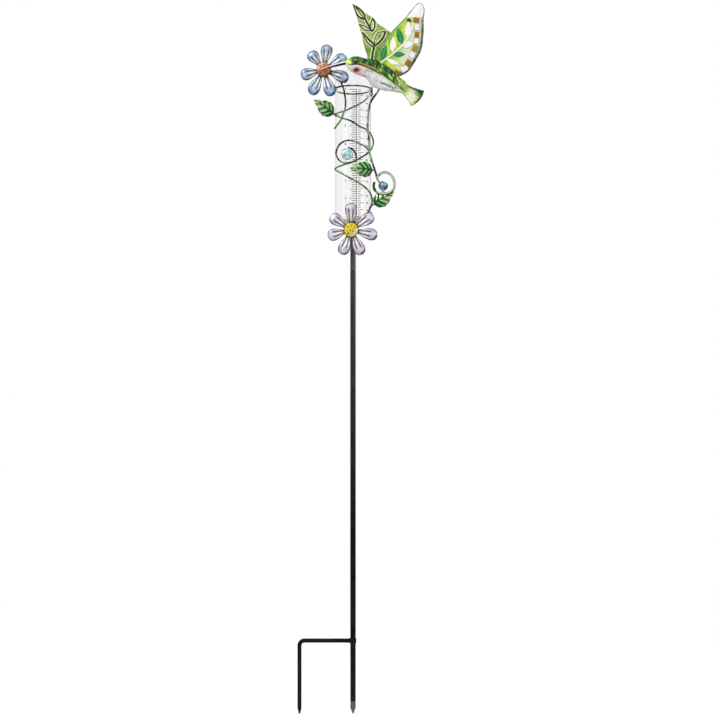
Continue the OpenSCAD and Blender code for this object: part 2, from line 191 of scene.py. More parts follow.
def sweep(curve, radius, sides=16, spacing=0.55, lump=0.05):
    """Rings of a wire with rounded ends and a slightly uneven, hand-formed thickness."""
    total = lengths(curve)[-1]
    path = even(curve, max(8, int(total / spacing)))
    along = lengths(path)
    heading = np.gradient(path, axis=0)
    heading /= np.linalg.norm(heading, axis=1)[:, None]
    side = np.array([0.2, 0.3, 0.9])
    angle = circle(sides)
    from_end = np.minimum(along, total - along) / radius
    round_end = np.sqrt(np.clip(1 - (1 - np.minimum(from_end, 1)) ** 2, 0.02, 1))
    wave = 1 + lump * (np.sin(along / 2.3) + 0.6 * np.sin(along / 1.1 + 1))
    rings = []
    for i, point in enumerate(path):
        side = side - side @ heading[i] * heading[i]
        side /= np.linalg.norm(side)
        other = np.cross(side, heading[i])
        r = radius * round_end[i] * wave[i]
        rings.append(point + r * (np.cos(angle)[:, None] * side + np.sin(angle)[:, None] * other))
    return np.array(rings)


def plate(front, back):
    """Rings of a closed plate from its front and back grids."""
    return np.concatenate([front, back[:, ::-1]], axis=1)


def both(values):
    """Values of a plate's front, given to its back as well."""
    return plate(values, values)


def sheet_grid(first, last, rows, columns):
    """Rows across a sheet from its first edge to its last, with the place along and across."""
    u, v = grid(np.linspace(0, 1, rows), np.linspace(0, 1, columns))
    a, b = even(smooth(first, 12), rows), even(smooth(last, 12), rows)
    x = a[:, :1] * (1 - v) + b[:, :1] * v
    z = a[:, 1:] * (1 - v) + b[:, 1:] * v
    return u, v, x, z


def leaf_shape(x, z, base, tip, width, soft=0.5):
    """1 inside a leaf that runs from base to tip, 0 outside, with a soft edge."""
    (bx, bz), (tx, tz) = base, tip
    long = math.hypot(tx - bx, tz - bz)
    ax, az = (tx - bx) / long, (tz - bz) / long
    t = np.clip(((x - bx) * ax + (z - bz) * az) / long, 0, 1)
    off = np.hypot(x - bx - t * long * ax, z - bz - t * long * az)
    return step(-soft, soft, width / 2 * np.sin(np.pi * t**0.85) - off)


def stroke(x, z, points, width, soft=0.5):
    """1 on a line through the points, 0 away from it."""
    line = smooth(points, 8)
    nearest = np.full(x.shape, FAR_AWAY)
    for (x0, z0), (x1, z1) in zip(line[:-1], line[1:]):
        dx, dz = x1 - x0, z1 - z0
        t = np.clip(((x - x0) * dx + (z - z0) * dz) / (dx * dx + dz * dz), 0, 1)
        nearest = np.minimum(nearest, np.hypot(x - x0 - t * dx, z - z0 - t * dz))
    return step(-soft, soft, width / 2 - nearest)


def patchwork(x, z, spacing, seed):
    """Irregular patches of a sheet: a tone for each patch, and the distance from its edge."""
    rng = np.random.default_rng(seed)
    grid_x = np.arange(x.min() - spacing, x.max() + 2 * spacing, spacing)
    grid_z = np.arange(z.min() - spacing, z.max() + 2 * spacing, spacing)
    centres = np.stack(np.meshgrid(grid_x, grid_z), axis=-1).reshape(-1, 2)
    centres = centres + rng.uniform(-0.42, 0.42, centres.shape) * spacing
    tones = rng.random(len(centres))
    nearest = np.full(x.shape, FAR_AWAY)
    second = nearest.copy()
    tone = np.zeros(x.shape)
    for (cx, cz), value in zip(centres, tones):
        away = np.hypot(x - cx, z - cz)
        closer = away < nearest
        second = np.where(closer, nearest, np.minimum(second, away))
        nearest = np.where(closer, away, nearest)
        tone = np.where(closer, value, tone)
    return tone, second - nearest


# Pieces

def clean(mesh):
    """Joins points that meet at tips, and makes every face look outwards."""
    work = bmesh.new()
    work.from_mesh(mesh)
    bmesh.ops.remove_doubles(work, verts=work.verts, dist=2e-6)
    bmesh.ops.dissolve_degenerate(work, edges=work.edges, dist=1e-6)
    bmesh.ops.recalc_face_normals(work, faces=work.faces)
    work.to_mesh(mesh)
    work.free()


def skin_faces(rows, columns, start):
    """Faces of a closed skin through rings, with a cap at each end."""
    index = start + np.arange(rows * columns).reshape(rows, columns)
    a, b = index[:-1], index[1:]
    quads = np.stack([a, np.roll(a, -1, 1), np.roll(b, -1, 1), b], axis=-1).reshape(-1, 4)
    return quads.tolist() + [index[0][::-1].tolist(), index[-1].tolist()]


SHARP_ANGLE = 50
CAD_SHARP_ANGLE = 35


def add_object(name, data):
    """A new object in the scene."""
    made = bpy.data.objects.new(name, data)
    bpy.context.scene.collection.objects.link(made)
    return made


def place(name, mesh, material, slot, body):
    """Puts a mesh on a body. It stands for the CAD node of its name, if there is one."""
    mesh.materials.append(material)
    piece = add_object(name, mesh)
    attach(piece, body)
    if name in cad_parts:
        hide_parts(name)


def make_piece(name, parts, material, slot, body="upper"):
    """One object from closed skins. Each part is its rings, its paint and its darkening, which
    holds dark marks and, on some pieces, painted shade.
    """
    points, faces, paints, dark_and_shade_layers = [], [], [], []
    count = 0
    for rings, paint, dark_marks_and_shade in parts:
        rows, columns = rings.shape[:2]
        faces += skin_faces(rows, columns, count)
        count += rows * columns
        points.append(rings.reshape(-1, 3))
        paints.append(np.broadcast_to(paint, rings.shape).reshape(-1, 3))
        dark_and_shade_layers.append(np.broadcast_to(dark_marks_and_shade, rings.shape[:2]).reshape(-1))
    mesh = bpy.data.meshes.new(name)
    mesh.from_pydata((np.vstack(points) * MM).tolist(), [], faces)
    rgba = np.ones((count, 4))
    rgba[:, :3] = np.vstack(paints)
    colour = mesh.attributes.new("paint", "FLOAT_COLOR", "POINT")
    colour.data.foreach_set("color", rgba.ravel().astype(np.float32))
    # Darkening attribute: dark marks such as wash, outlines, strokes and dark lengths, and painted
    # shade on the ring's left side and the wing rim's trailing edge
    darkening_layer = mesh.attributes.new("dark_marks_and_shade", "FLOAT", "POINT")
    darkening_layer.data.foreach_set("value", np.concatenate(dark_and_shade_layers).astype(np.float32))
    clean(mesh)
    mesh.shade_smooth()
    mesh.set_sharp_from_angle(angle=math.radians(SHARP_ANGLE))
    place(name, mesh, material, slot, body)


# Materials

class Nodes:
    """A fresh node tree with short names for the nodes that are used most."""

    def __init__(self, owner, output):
        owner.use_nodes = True
        self.tree = owner.node_tree
        self.tree.nodes.clear()
        self.output = self.add(output)

    def surface(self, shader):
        self.tree.links.new(shader.outputs[0], self.output.inputs["Surface"])

    def put(self, node, key, value):
        if isinstance(value, bpy.types.NodeSocket):
            self.tree.links.new(value, node.inputs[key])
        else:
            node.inputs[key].default_value = value

    def add(self, kind, inputs=None, **settings):
        """A shader node of a kind, with its inputs and its settings."""
        node = self.tree.nodes.new("ShaderNode" + kind)
        for key, value in settings.items():
            setattr(node, key, value)
        for key, value in (inputs or {}).items():
            self.put(node, key, value)
        return node

    def remap(self, value, low, high, to_low, to_high):
        node = self.add("MapRange", {"Value": value, "From Min": low, "From Max": high,
                                     "To Min": to_low, "To Max": to_high})
        return node.outputs[0]

    def math(self, operation, a, b):
        return self.add("Math", {0: a, 1: b}, operation=operation).outputs[0]


class Material(Nodes):
    """One procedural material, made of a Principled shader and what feeds it."""

    def __init__(self, name):
        self.made = bpy.data.materials.new(name)
        super().__init__(self.made, "OutputMaterial")
        self.shader = self.add("BsdfPrincipled")
        self.surface(self.shader)
        self.place = self.add("TexCoord").outputs["Object"]

    def set(self, **inputs):
        """Inputs of the shader, with underscores for spaces in their names."""
        for key, value in inputs.items():
            self.put(self.shader, key.replace("_", " "), value)

    def attribute(self, name, output="Fac"):
        return self.add("Attribute", attribute_name=name).outputs[output]

    def noise(self, size, detail=3.0, stretch=(1, 1, 1)):
        """Noise with features of about size millimetres, longer along a stretched axis."""
        scale = [1 / (size * MM * s) for s in stretch]
        place = self.add("Mapping", {"Vector": self.place, "Scale": scale})
        noise = self.add("TexNoise", {"Vector": place.outputs[0], "Scale": 1.0, "Detail": detail})
        return noise.outputs[0]

    def mix(self, share, a, b, blend="MIX"):
        node = self.add("Mix", data_type="RGBA", blend_type=blend)
        for key, value in ((0, share), (6, a), (7, b)):
            if not isinstance(value, bpy.types.NodeSocket) and key:
                value = (*value[:3], 1.0)
            self.put(node, key, value)
        return node.outputs[2]

    def grey(self, value):
        return self.add("CombineColor", {0: value, 1: value, 2: value}).outputs[0]

    def bump(self, height, depth, strength=1.0):
        node = self.add("Bump", {"Height": height, "Distance": depth * MM, "Strength": strength})
        self.set(Normal=node.outputs[0])

    def edges(self, low, high):
        """1 on sharp outer edges of a fine mesh, 0 elsewhere."""
        pointed = self.add("NewGeometry").outputs["Pointiness"]
        return self.remap(pointed, low, high, 0, 1)


def enamel(name, wash, rough, coat=0.2, metallic=0.0, wear_and_highlight=0.25, blotch=(0.82, 1.14)):
    """Hand-painted enamel: the mesh's paint with blotches, dark wash in recesses, and pale sharp
    edges that are partly wear and partly a painted highlight.
    """
    m = Material(name)
    cloud = m.noise(3.5)
    fine = m.noise(0.6, 5)
    tone = m.remap(m.math("ADD", m.math("MULTIPLY", cloud, 0.7), m.math("MULTIPLY", fine, 0.3)),
                   0.35, 0.65, *blotch)
    colour = m.mix(1.0, m.attribute("paint", "Color"), m.grey(tone), "MULTIPLY")
    grime = m.math("MULTIPLY", m.attribute("dark_marks_and_shade"), m.remap(fine, 0.3, 0.7, 0.8, 1.1))
    colour = m.mix(grime, colour, wash)
    # Pale rub on sharp edges: partly wear, partly a painted highlight
    rub_and_highlight = m.math("MULTIPLY", m.edges(0.53, 0.62), m.remap(cloud, 0.4, 0.6, 0, wear_and_highlight))
    colour = m.mix(rub_and_highlight, colour, (0.85, 0.84, 0.78))
    m.set(Base_Color=colour, Metallic=metallic, Coat_Weight=coat, Coat_Roughness=0.12,
          Specular_IOR_Level=0.2, Roughness=m.remap(fine, 0.3, 0.7, *rough))
    m.bump(m.math("ADD", m.math("MULTIPLY", cloud, 0.6), fine), 0.12, 0.7)
    return m.made


def wire_coat(name, light, dark, patches=0.56):
    """Painted wire: a light coat over a dark one that shows in patches and thin streaks."""
    m = Material(name)
    patch = m.noise(9.0, 4)
    fine = m.noise(0.5, 5)
    colour = m.mix(m.remap(fine, 0.35, 0.65, 0, 1), light, [c * 0.72 for c in light])
    colour = m.mix(m.remap(patch, patches, patches + 0.07, 0, 1), colour, dark)
    # The darkening attribute darkens the coat: dark lengths, and painted shade on the ring and on
    # the wing rim
    colour = m.mix(m.attribute("dark_marks_and_shade"), colour, [c * 0.5 for c in dark])
    m.set(Base_Color=colour, Roughness=m.remap(fine, 0.3, 0.7, 0.28, 0.45), Coat_Weight=0.15,
          Coat_Roughness=0.15, Specular_IOR_Level=0.2)
    m.bump(m.math("ADD", patch, m.math("MULTIPLY", fine, 0.4)), 0.12, 0.6)
    return m.made


def powder_coat(name, base, scuffed, grain=0.35, scuffs=0.66, gloss=(0.1, 0.1)):
    """Satin powder coat with a fine orange peel, dust and a few long scuffs.

    Gloss is its strength near the ground and at the joint of the two stake tubes.
    """
    m = Material(name)
    peel = m.noise(grain, 2)
    cloud = m.noise(14.0, 4)
    scratch = m.noise(0.8, 6, (1, 1, 22))
    dusty = [c + (0.5 - c) * 0.025 for c in base]
    height = m.add("SeparateXYZ", {0: m.place}).outputs["Z"]
    colour = m.mix(m.remap(cloud, 0.35, 0.7, 0, 0.8), base, dusty)
    colour = m.mix(m.remap(scratch, scuffs, scuffs + 0.05, 0, 0.7), colour, scuffed)
    m.set(Base_Color=colour, Roughness=m.remap(cloud, 0.3, 0.7, 0.30, 0.44), Coat_Weight=0.05,
          Coat_Roughness=0.2, Specular_IOR_Level=m.remap(height, 0.15, 0.52, *gloss))
    m.bump(m.math("ADD", peel, m.math("MULTIPLY", scratch, 0.3)), 0.05, 0.5)
    return m.made


def metal(name, base, rough, streak=(1, 1, 1)):
    """Bare metal with drawn streaks and duller spots."""
    m = Material(name)
    streaks = m.noise(0.5, 5, streak)
    cloud = m.noise(4.0)
    colour = m.mix(m.remap(cloud, 0.3, 0.7, 0, 1), base, [c * 0.55 for c in base])
    m.set(Base_Color=colour, Metallic=0.9, Roughness=m.remap(streaks, 0.3, 0.7, *rough))
    m.bump(streaks, 0.03, 0.5)
    return m.made


def clear_glass():
    """Clear drawn glass with faint ripples, a trace of dust and greyer edges.

    It lets light through to what stands behind and below it, as thin glass does.
    """
    m = Material("clear_glass")
    ripple = m.noise(18.0, 2, (1, 1, 3))
    dust = m.noise(1.2, 5)
    tint = m.mix(m.remap(dust, 0.4, 0.7, 0, 1), (0.965, 0.958, 0.96), (0.93, 0.925, 0.93))
    facing = m.add("LayerWeight", {"Blend": 0.3}).outputs["Facing"]
    tint = m.mix(m.remap(facing, 0.3, 0.9, 0, 1), tint, (0.80, 0.77, 0.785))
    m.set(Base_Color=tint, Transmission_Weight=1.0, IOR=1.33,
          Roughness=m.remap(dust, 0.5, 0.8, 0.0, 0.02))
    m.bump(ripple, 0.03, 0.3)
    ray = m.add("LightPath")
    lighting = m.math("MAXIMUM", ray.outputs["Is Shadow Ray"], ray.outputs["Is Diffuse Ray"])
    clear = m.add("BsdfTransparent", {"Color": (0.93, 0.93, 0.93, 1)})
    m.surface(m.add("MixShader", {0: lighting, 1: m.shader.outputs[0], 2: clear.outputs[0]}))
    return m.made


def swirled_glass(name, body, swirl, deep, clear):
    """Glass with a milky swirl that fades into a deeper colour at the rim."""
    m = Material(name)
    warp = m.noise(5.0, 3)
    curl = m.noise(2.4, 4, (1, 1, 1.6))
    share = m.remap(m.math("ADD", warp, m.math("MULTIPLY", curl, 0.6)), 0.70, 1.0, 0, 1)
    colour = m.mix(share, body, swirl)
    rim = m.add("LayerWeight", {"Blend": 0.35}).outputs["Facing"]
    colour = m.mix(m.remap(rim, 0.15, 0.7, 0, 1), colour, deep)
    m.set(Base_Color=colour, Roughness=m.remap(curl, 0.3, 0.7, 0.03, 0.10), IOR=1.5,
          Transmission_Weight=clear, Coat_Weight=1.0, Coat_Roughness=0.03)
    m.bump(m.math("ADD", warp, curl), 0.5, 0.5)
    return m.made


def cloudy_paint(name, base, other, size, start, end, rough, relief, coat=0.0):
    """Thin paint that turns into another colour in clouds of about size millimetres."""
    m = Material(name)
    cloud = m.noise(size, 4)
    m.set(Base_Color=m.mix(m.remap(cloud, start, end, 0, 1), base, other), Coat_Weight=coat,
          Roughness=m.remap(cloud, 0.3, 0.7, *rough))
    m.bump(cloud, 0.02, relief)
    return m.made


vine_coat = wire_coat("vine_coat", (0.16, 0.29, 0.12), (0.008, 0.016, 0.008), 0.55)
pale_coat = wire_coat("pale_coat", (0.30, 0.41, 0.26), (0.02, 0.05, 0.02), 0.57)
dark_coat = wire_coat("dark_coat", (0.03, 0.04, 0.032), (0.012, 0.014, 0.012))
rim_coat = wire_coat("rim_coat", (0.26, 0.28, 0.22), (0.03, 0.038, 0.025), 0.56)
stake_coat = powder_coat("stake_coat", (0.003, 0.0028, 0.003), (0.035, 0.032, 0.035), 0.35, 0.7,
                         (0.04, 0.7))
petal_enamel = enamel("petal_enamel", wash=(0.008, 0.008, 0.014), rough=(0.16, 0.34), coat=0.25,
                      metallic=0.12)
disc_enamel = enamel("disc_enamel", wash=(0.09, 0.045, 0.010), rough=(0.2, 0.4), coat=0.25)
leaf_enamel = enamel("leaf_enamel", wash=(0.004, 0.022, 0.006), rough=(0.14, 0.30), coat=0.3,
                     metallic=0.2, wear_and_highlight=0.5)
bird_enamel = enamel("bird_enamel", wash=(0.006, 0.015, 0.005), rough=(0.18, 0.36), coat=0.2,
                     metallic=0.1)
breast_enamel = enamel("breast_enamel", wash=(0.012, 0.012, 0.014), rough=(0.25, 0.42), coat=0.2,
                       wear_and_highlight=0.1, blotch=(0.93, 1.05))
wing_enamel = enamel("wing_enamel", wash=(0.010, 0.018, 0.005), rough=(0.12, 0.28), coat=0.4,
                     wear_and_highlight=0.1, blotch=(0.90, 1.08))


# Wires

# Courses of the wires. VINE, FLOWER_STEM and STONE_LOOP hold the angle, the height and the
# distance outside a radius, which is CAGE_R for VINE and FRONT_R for the other two. STEM,
# FLOWER_TIE and SIDE_CURL hold x, y and height.
CLASP_ANGLE = 66
VINE = [
    [66, RING_H - 4.5, 0], [100, 178.6, 0], [133, 175, 0], [176, 167, 0],
    [208, 160, 0], [245, 154.4, 0], [272, 151.2, 0], [296, 148.3, 0],
    [319, 141.7, 0], [350, 136.4, 0], [366, 132.3, 0], [382, 127.9, 0],
    [410, 123.8, 0], [432, 117.5, 1], [441, 110, 2],
    [433, 101.3, 1], [419, 95.7, 0.4], [402, 89.6, 0],
    [385, 84.9, 0], [368, 79.8, 0], [354.5, 77.4, 0], [339, 75.5, 0],
    [321.4, 73.8, 0], [301, 72.3, 0], [293, 70.6, 0.4],
    [299, 68.8, 0], [325, 62.9, 0], [343, 57.9, 0], [358, 54.2, 0],
    [373, 50.7, 0], [393.3, 45.1, 0], [408, 41.1, 0],
    [425, 34.9, 0.6], [438, 27.8, 0.6], [435.5, 22.7, 0.6],
    [418, 14.1, 0.6], [407, 7.1, 0.4], [401, 2, 0.2],
]
STEM = [
    [37.6, -37.4, 180.5], [34.3, -35.2, 174.1], [29.4, -32.5, 168.1], [24.7, -28.5, 160.9],
    [22.4, -24, 152.3], [21.4, -21.5, 140.9], [20.6, -21.5, 128.3], [22, -20.3, 116.1],
    [22.9, -19.3, 103.8], [23.3, -18.6, 94.9], [25.1, -18, 86], [27.8, -17.6, 77.1],
    [30.5, -17.2, 69.2], [32.3, -17, 63.7], [33.8, -17, 56.8], [37.6, -18, 50.4],
]
FLOWER_STEM = [
    [-29, 189.5, 35 - FRONT_R], [-24.6, 180, 31.4 - FRONT_R], [-22.6, 171.6, 0],
    [-20.3, 160.3, 0], [-23.2, 150.7, 0], [-29.2, 143.3, 0], [-37.4, 136, 0],
    [-56, 129.6, -0.6], [-68, 127.8, 1 - 2 * WIRE_R],
]
STONE_LOOP = [
    [49, 95.6, 0], [34.7, 100.4, 0], [19.5, 103.4, 0], [7.1, 106.2, 0],
    [-8.5, 108.1, 0], [-26.4, 106.8, 0], [-43.5, 101.5, 0],
    [-54, 92.2, 0], [-43.5, 82.8, 0], [-24.6, 76.9, 0], [-5, 77.4, 0],
    [8.2, 81.6, 0], [8, 87.9, 1.2], [-0.4, 94.8, 2.6],
    [-13, 97.4, 3.4],
]
FLOWER_TIE = [[-37, -30.6, 199], [-33.5, -27.5, 194], [-29, -20.5, 188.6], [-25, -13.2, 186.2]]
CURL_R = 1.9
CURL_Y = -17.4
SIDE_CURL = [
    [33.3, CURL_Y, 56.8], [38.6, CURL_Y, 63.2], [45.1, CURL_Y, 65.3], [52.7, CURL_Y, 62.1],
    [57.4, CURL_Y, 53.9], [58, CURL_Y, 45.9], [54.8, CURL_Y, 39.4], [47.4, CURL_Y, 35.4],
    [38.4, CURL_Y, 35.4], [31.4, CURL_Y, 39.6], [29.1, CURL_Y, 45.9], [30.4, CURL_Y, 52],
]


def on_gauge(points):
    """Points with heights measured from the underside of the tube."""
    return np.asarray(points, float) + [0, 0, BASE]


def wire(name, curve, radius, material, slot, dark=()):
    """A wire, darker over the given lengths of it, which are shares of the curve."""
    rings = sweep(curve, radius)
    share = np.linspace(0, 1, len(rings))[:, None]
    dark_marks_and_shade = np.zeros_like(share)
    for start, end in dark:
        dark_marks_and_shade = np.maximum(dark_marks_and_shade, step(start - 0.02, start + 0.01, share)
                            * step(end + 0.02, end - 0.01, share))
    make_piece(name, [(rings, BLACK, dark_marks_and_shade)], material, slot)


def build_wires():
    """Vine, stems and ties, each with the dark lengths that the photo shows."""
    clasp = [[CLASP_ANGLE, RING_H + WIRE_R + 1, 0], [CLASP_ANGLE, RING_H - 8.5, 0]]
    green, dark = "wire_green", "wire_dark"
    for name, curve, radius, coat, slot, dark_lengths in (
            ("vine", around(smooth(VINE, 8), CAGE_R), WIRE_R, vine_coat, green,
             [(0.0, 0.03), (0.22, 0.27), (0.355, 0.40), (0.545, 0.60), (0.90, 1.0)]),
            ("stem", on_gauge(smooth(STEM, 8)), STEM_R, pale_coat, green,
             [(0.08, 0.18), (0.80, 0.92)]),
            ("flower_stem", around(smooth(FLOWER_STEM, 8), FRONT_R), WIRE_R, vine_coat, green,
             [(0.0, 0.46), (0.93, 1.0)]),
            ("stone_loop", around(smooth(STONE_LOOP, 8), FRONT_R), WIRE_R, vine_coat, green,
             [(0.26, 0.62), (0.84, 1.0)]),
            ("flower_tie", on_gauge(smooth(FLOWER_TIE, 8)), WIRE_R, dark_coat, dark, []),
            ("ring_clasp", around(smooth(clasp, 8), FRONT_R), WIRE_R, pale_coat, dark,
             [(0.7, 1.0)])):
        wire(name, curve, radius, coat, slot, dark_lengths)


def build_curl():
    """Thick pale hoop round the blue stone, dark on its outer side and at its inner end."""
    rings = sweep(on_gauge(smooth(SIDE_CURL, 8)), CURL_R)
    heart = np.array([43.7, CURL_Y, BASE + 50])
    reach = np.linalg.norm(rings - heart, axis=2)
    outer = (reach - reach.mean(axis=1)[:, None]) / CURL_R
    share = np.linspace(0, 1, len(rings))[:, None]
    dark_marks_and_shade = np.maximum(0.95 * step(0.25, 0.7, outer), step(0.80, 0.86, share))
    coat = wire_coat("curl_coat", (0.60, 0.68, 0.55), (0.03, 0.09, 0.03), 0.64)
    make_piece("side_curl", [(rings, BLACK, dark_marks_and_shade)], coat, "wire_green")


def ball_angles(rows, sides):
    """Angles of a ball: from its front to its back, and round it."""
    return np.linspace(0.02, np.pi - 0.02, rows)[:, None], circle(sides)


def ball(polar, angle, r, size, fullness=1):
    """Rings of a lumpy ball of radius r, stretched by size; a low fullness makes it blockier."""
    side = r * np.sin(polar) ** fullness
    return xyz(size[0] * side * np.cos(angle), -size[1] * r * np.cos(polar),
               size[2] * side * np.sin(angle))


def solder_blob():
    """Lump of solder where the vine ends beside the dish."""
    polar, angle = ball_angles(24, 32)
    r = 2.4 * (1 + 0.16 * np.sin(3 * angle) * np.sin(2 * polar) + 0.1 * np.cos(2 * angle + 1))
    rings = ball(polar, angle, r, (1.25, -0.8, 0.8)) + around([[58, 9.2, 3.4]], TUBE_R)
    tin = metal("solder_tin", (0.62, 0.62, 0.60), (0.3, 0.55))
    make_piece("solder_blob", [(rings, WHITE, 0.0)], tin, "wire_green")


def build_ring():
    """The ring, which starts and ends behind the clasp, with painted shade that makes it black on
    its left.
    """
    angle = np.linspace(CLASP_ANGLE, CLASP_ANGLE + 360, 240)
    curve = around(xyz(angle, RING_H, 0), CAGE_R)
    rings = sweep(curve, WIRE_R, lump=0.03)
    # Painted shade: the left side of the ring is drawn black
    black = step(-14, -20, rings[..., 0])
    make_piece("top_ring", [(rings, BLACK, black)], vine_coat, "wire_green")


# Flowers

FLOWER_R = 37
PETAL_ROOT = 5
PETAL_OUTLINE = [[5, 2.6], [10, 3.3], [15, 4.7], [22, 7.3], [28.5, 8.3], [33.3, 6.9], [36, 4.2],
                 [FLOWER_R, 0.05]]
SHEET = 0.9
# Direction in degrees of the painted shade on the side of each petal away from the light
SHADE_SIDE = -48
# Each petal's sideways bend in degrees and its share of FLOWER_R
BLUE_BENDS = [(-1, 0.95), (-5, 0.85), (11, 0.89), (7, 1.05), (-1, 1.04), (-1, 1), (0, 0.99)]
PURPLE_BENDS = [(0, 1.02), (4, 0.94), (3, 0.91), (5, 0.99), (-2, 1.02), (0, 1.02), (-5, 1.01)]
DISC_BUMPS = 38
DISC_PITS = ((5.2, 2.6), (-0.4, -1.8), (-4.4, 3.6), (3.0, -2.8), (-3.4, -5.4), (0.8, 5.8))


def petal(angle, tip, tint, silver, warm, shade, cover):
    """One stamped petal: spoon-shaped, with two long grooves and a coloured tip.

    Cover is the strength of the tint on the petal's outer half. A pale band near the tip is a
    painted highlight, and painted shade darkens the side away from the light and the root beside
    the disc.
    """
    u, v = grid(np.sin(np.linspace(0, np.pi / 2, 60)), crowded(45))
    outline = smooth(PETAL_OUTLINE, 10)
    r = PETAL_ROOT + (tip - PETAL_ROOT) * u
    unbent = PETAL_ROOT + (FLOWER_R - PETAL_ROOT) * u
    side = np.interp(unbent, outline[:, 0], outline[:, 1]) * v
    groove = bell(np.abs(v), 0.40, 0.17) * step(0.10, 0.22, u) * step(0.82, 0.62, u)
    crown = np.sqrt(1 - 0.96 * v**2) * (0.7 + 1.9 * step(0.25, 0.8, u) - 0.9 * step(0.8, 1, u))
    lift = crown - 1.5 * groove + 0.3 * bell(v, 0, 0.16) * step(0.75, 0.3, u)
    bow = 2.4 * np.sin(np.pi * u * 0.92)
    front = xyz(r, -lift - bow, side)
    rings = turned(plate(front, front + [0, SHEET, 0]), -angle, 1)
    tint = np.asarray(tint) * shade
    tinted = cover * step(0.44, 0.82, u) + 0.4 * v**4 + (1 - cover) * step(0.86, 0.97, u)
    dark = np.maximum(0.95 * step(0.74, 0.93, np.abs(v)), 0.8 * step(0.955, 0.99, u))
    # Painted shade on the petal's sides next to the disc
    dark = np.maximum(dark, 0.9 * step(0.55, 0.85, np.abs(v)) * step(0.42, 0.28, u))
    # Painted shade on the side of the petal away from the light
    away = math.radians(angle - SHADE_SIDE)
    shaded_side = np.clip(np.cos(away) * step(0.6, 1, u) - math.sin(away) * v, 0, 1)
    dark = np.maximum(dark, 0.95 * step(0.50, 0.85, shaded_side * np.maximum(np.abs(v), u**3)))
    colour = layered(
        silver, (tint, np.clip(tinted, 0, 1)),
        # Painted highlight: a pale band near the tinted tip
        (silver, 0.65 * bell(v, 0.1, 0.34) * bell(u, 0.82, 0.08)),
        (warm, 0.8 * step(0.36, 0.20, u)),
        (tint * 0.12, dark),
        # Painted shade: a dark ring round the root, beside the disc
        ((0.03, 0.018, 0.015), step(0.245, 0.19, u + 0.02 * np.cos(9 * v))))
    return rings, both(colour), both(np.clip(0.98 * groove, 0, 1))


def petal_wheel(name, at, start, bends, tint, silver, warm, cover, slot):
    """Seven petals, each bent a few degrees sideways and reaching a share of FLOWER_R."""
    wheel = []
    for i, (bend, reach) in enumerate(bends):
        angle = start + i * 360 / len(bends) + bend
        shade = 0.82 + 0.06 * (i * 3 % len(bends))
        rings, colour, dark_marks_and_shade = petal(angle, FLOWER_R * reach, tint, silver, warm, shade, cover)
        wheel.append((rings + at, colour, dark_marks_and_shade))
    make_piece(name, wheel, petal_enamel, slot)


def dimpled_disc(name, at, colour, pale, deep, highlight_angle, slot):
    """Domed flower centre with a spiral of bumps, a pale side that is a painted highlight, a dark
    rim with painted shade on the side away from it, and a few burnt pits.
    """
    under, rise = 6, 5.0
    k = np.arange(DISC_BUMPS)
    spiral_r = DISC_R * 0.93 * np.sqrt((k + 0.5) / DISC_BUMPS)
    spiral_turn = k * math.radians(137.5)
    rho = np.concatenate([np.linspace(0.02, DISC_R, under), np.linspace(DISC_R, 0.02, 80)])[:, None]
    angle = circle(200)
    x, z = rho * np.cos(angle), rho * np.sin(angle)
    height = rise * np.sqrt(np.clip(1 - (x**2 + z**2) / DISC_R**2 * 0.97, 0, 1))
    near = np.full(x.shape, FAR_AWAY)
    for bx, bz in zip(spiral_r * np.cos(spiral_turn), spiral_r * np.sin(spiral_turn)):
        near = np.minimum(near, np.hypot(x - bx, z - bz))
    bead = np.clip(1 - (near / 1.2) ** 2, 0, 1)
    pits = np.zeros_like(x)
    for px, pz in DISC_PITS:
        pits = np.maximum(pits, bell(np.hypot(x - px, z - pz), 0, 1.3))
    height = height + 0.7 * np.sqrt(bead) - 0.9 * pits
    for values in (height, bead, pits):
        values[:under] = 0.0
    rings = xyz(x, -height, z) + at
    turn = math.radians(highlight_angle)
    # Dark rim: partly the disc's own colour, partly painted shade that is heaviest away from the
    # highlight
    edge = step(0.80, 1.0, rho / DISC_R) * (0.75 - 0.25 * np.cos(angle - turn))
    paint = layered(
        colour,
        # Painted highlight on one side of the dome
        (pale, 0.85 * step(1.5, 7.5, x * math.cos(turn) + z * math.sin(turn))),
        (deep, np.maximum(edge, 0.9 * pits)))
    make_piece(name, [(rings, paint, 0.25 * step(0.25, 0.0, bead))], disc_enamel, slot)


def build_flowers():
    front = np.array([0, -0.6, 0])
    petal_wheel("blue_petals", BLUE_AT, 82, BLUE_BENDS, (0.13, 0.27, 0.47),
                (0.86, 0.90, 0.94), (0.74, 0.68, 0.66), 0.85, "petal_blue")
    petal_wheel("purple_petals", PURPLE_AT, 90, PURPLE_BENDS, (0.48, 0.38, 0.56),
                (0.97, 0.94, 0.98), (0.95, 0.90, 0.72), 0.72, "petal_purple")
    dimpled_disc("blue_disc", BLUE_AT + front, (0.62, 0.21, 0.07), (0.90, 0.58, 0.40),
                 (0.10, 0.012, 0.006), 135, "disc_orange")
    dimpled_disc("purple_disc", PURPLE_AT + front, (0.86, 0.72, 0.03), (1.0, 0.96, 0.66),
                 (0.22, 0.14, 0.01), -40, "disc_yellow")


# Leaves

LEAF_L = 34
LEAF_W = 20
LEAF_OUTLINE = [[0, 0.5], [3, 7.0], [9, 10.3], [15, 10.4], [20, 8.6], [24, 5.4], [29, 3.4],
                [LEAF_L, 0.1]]


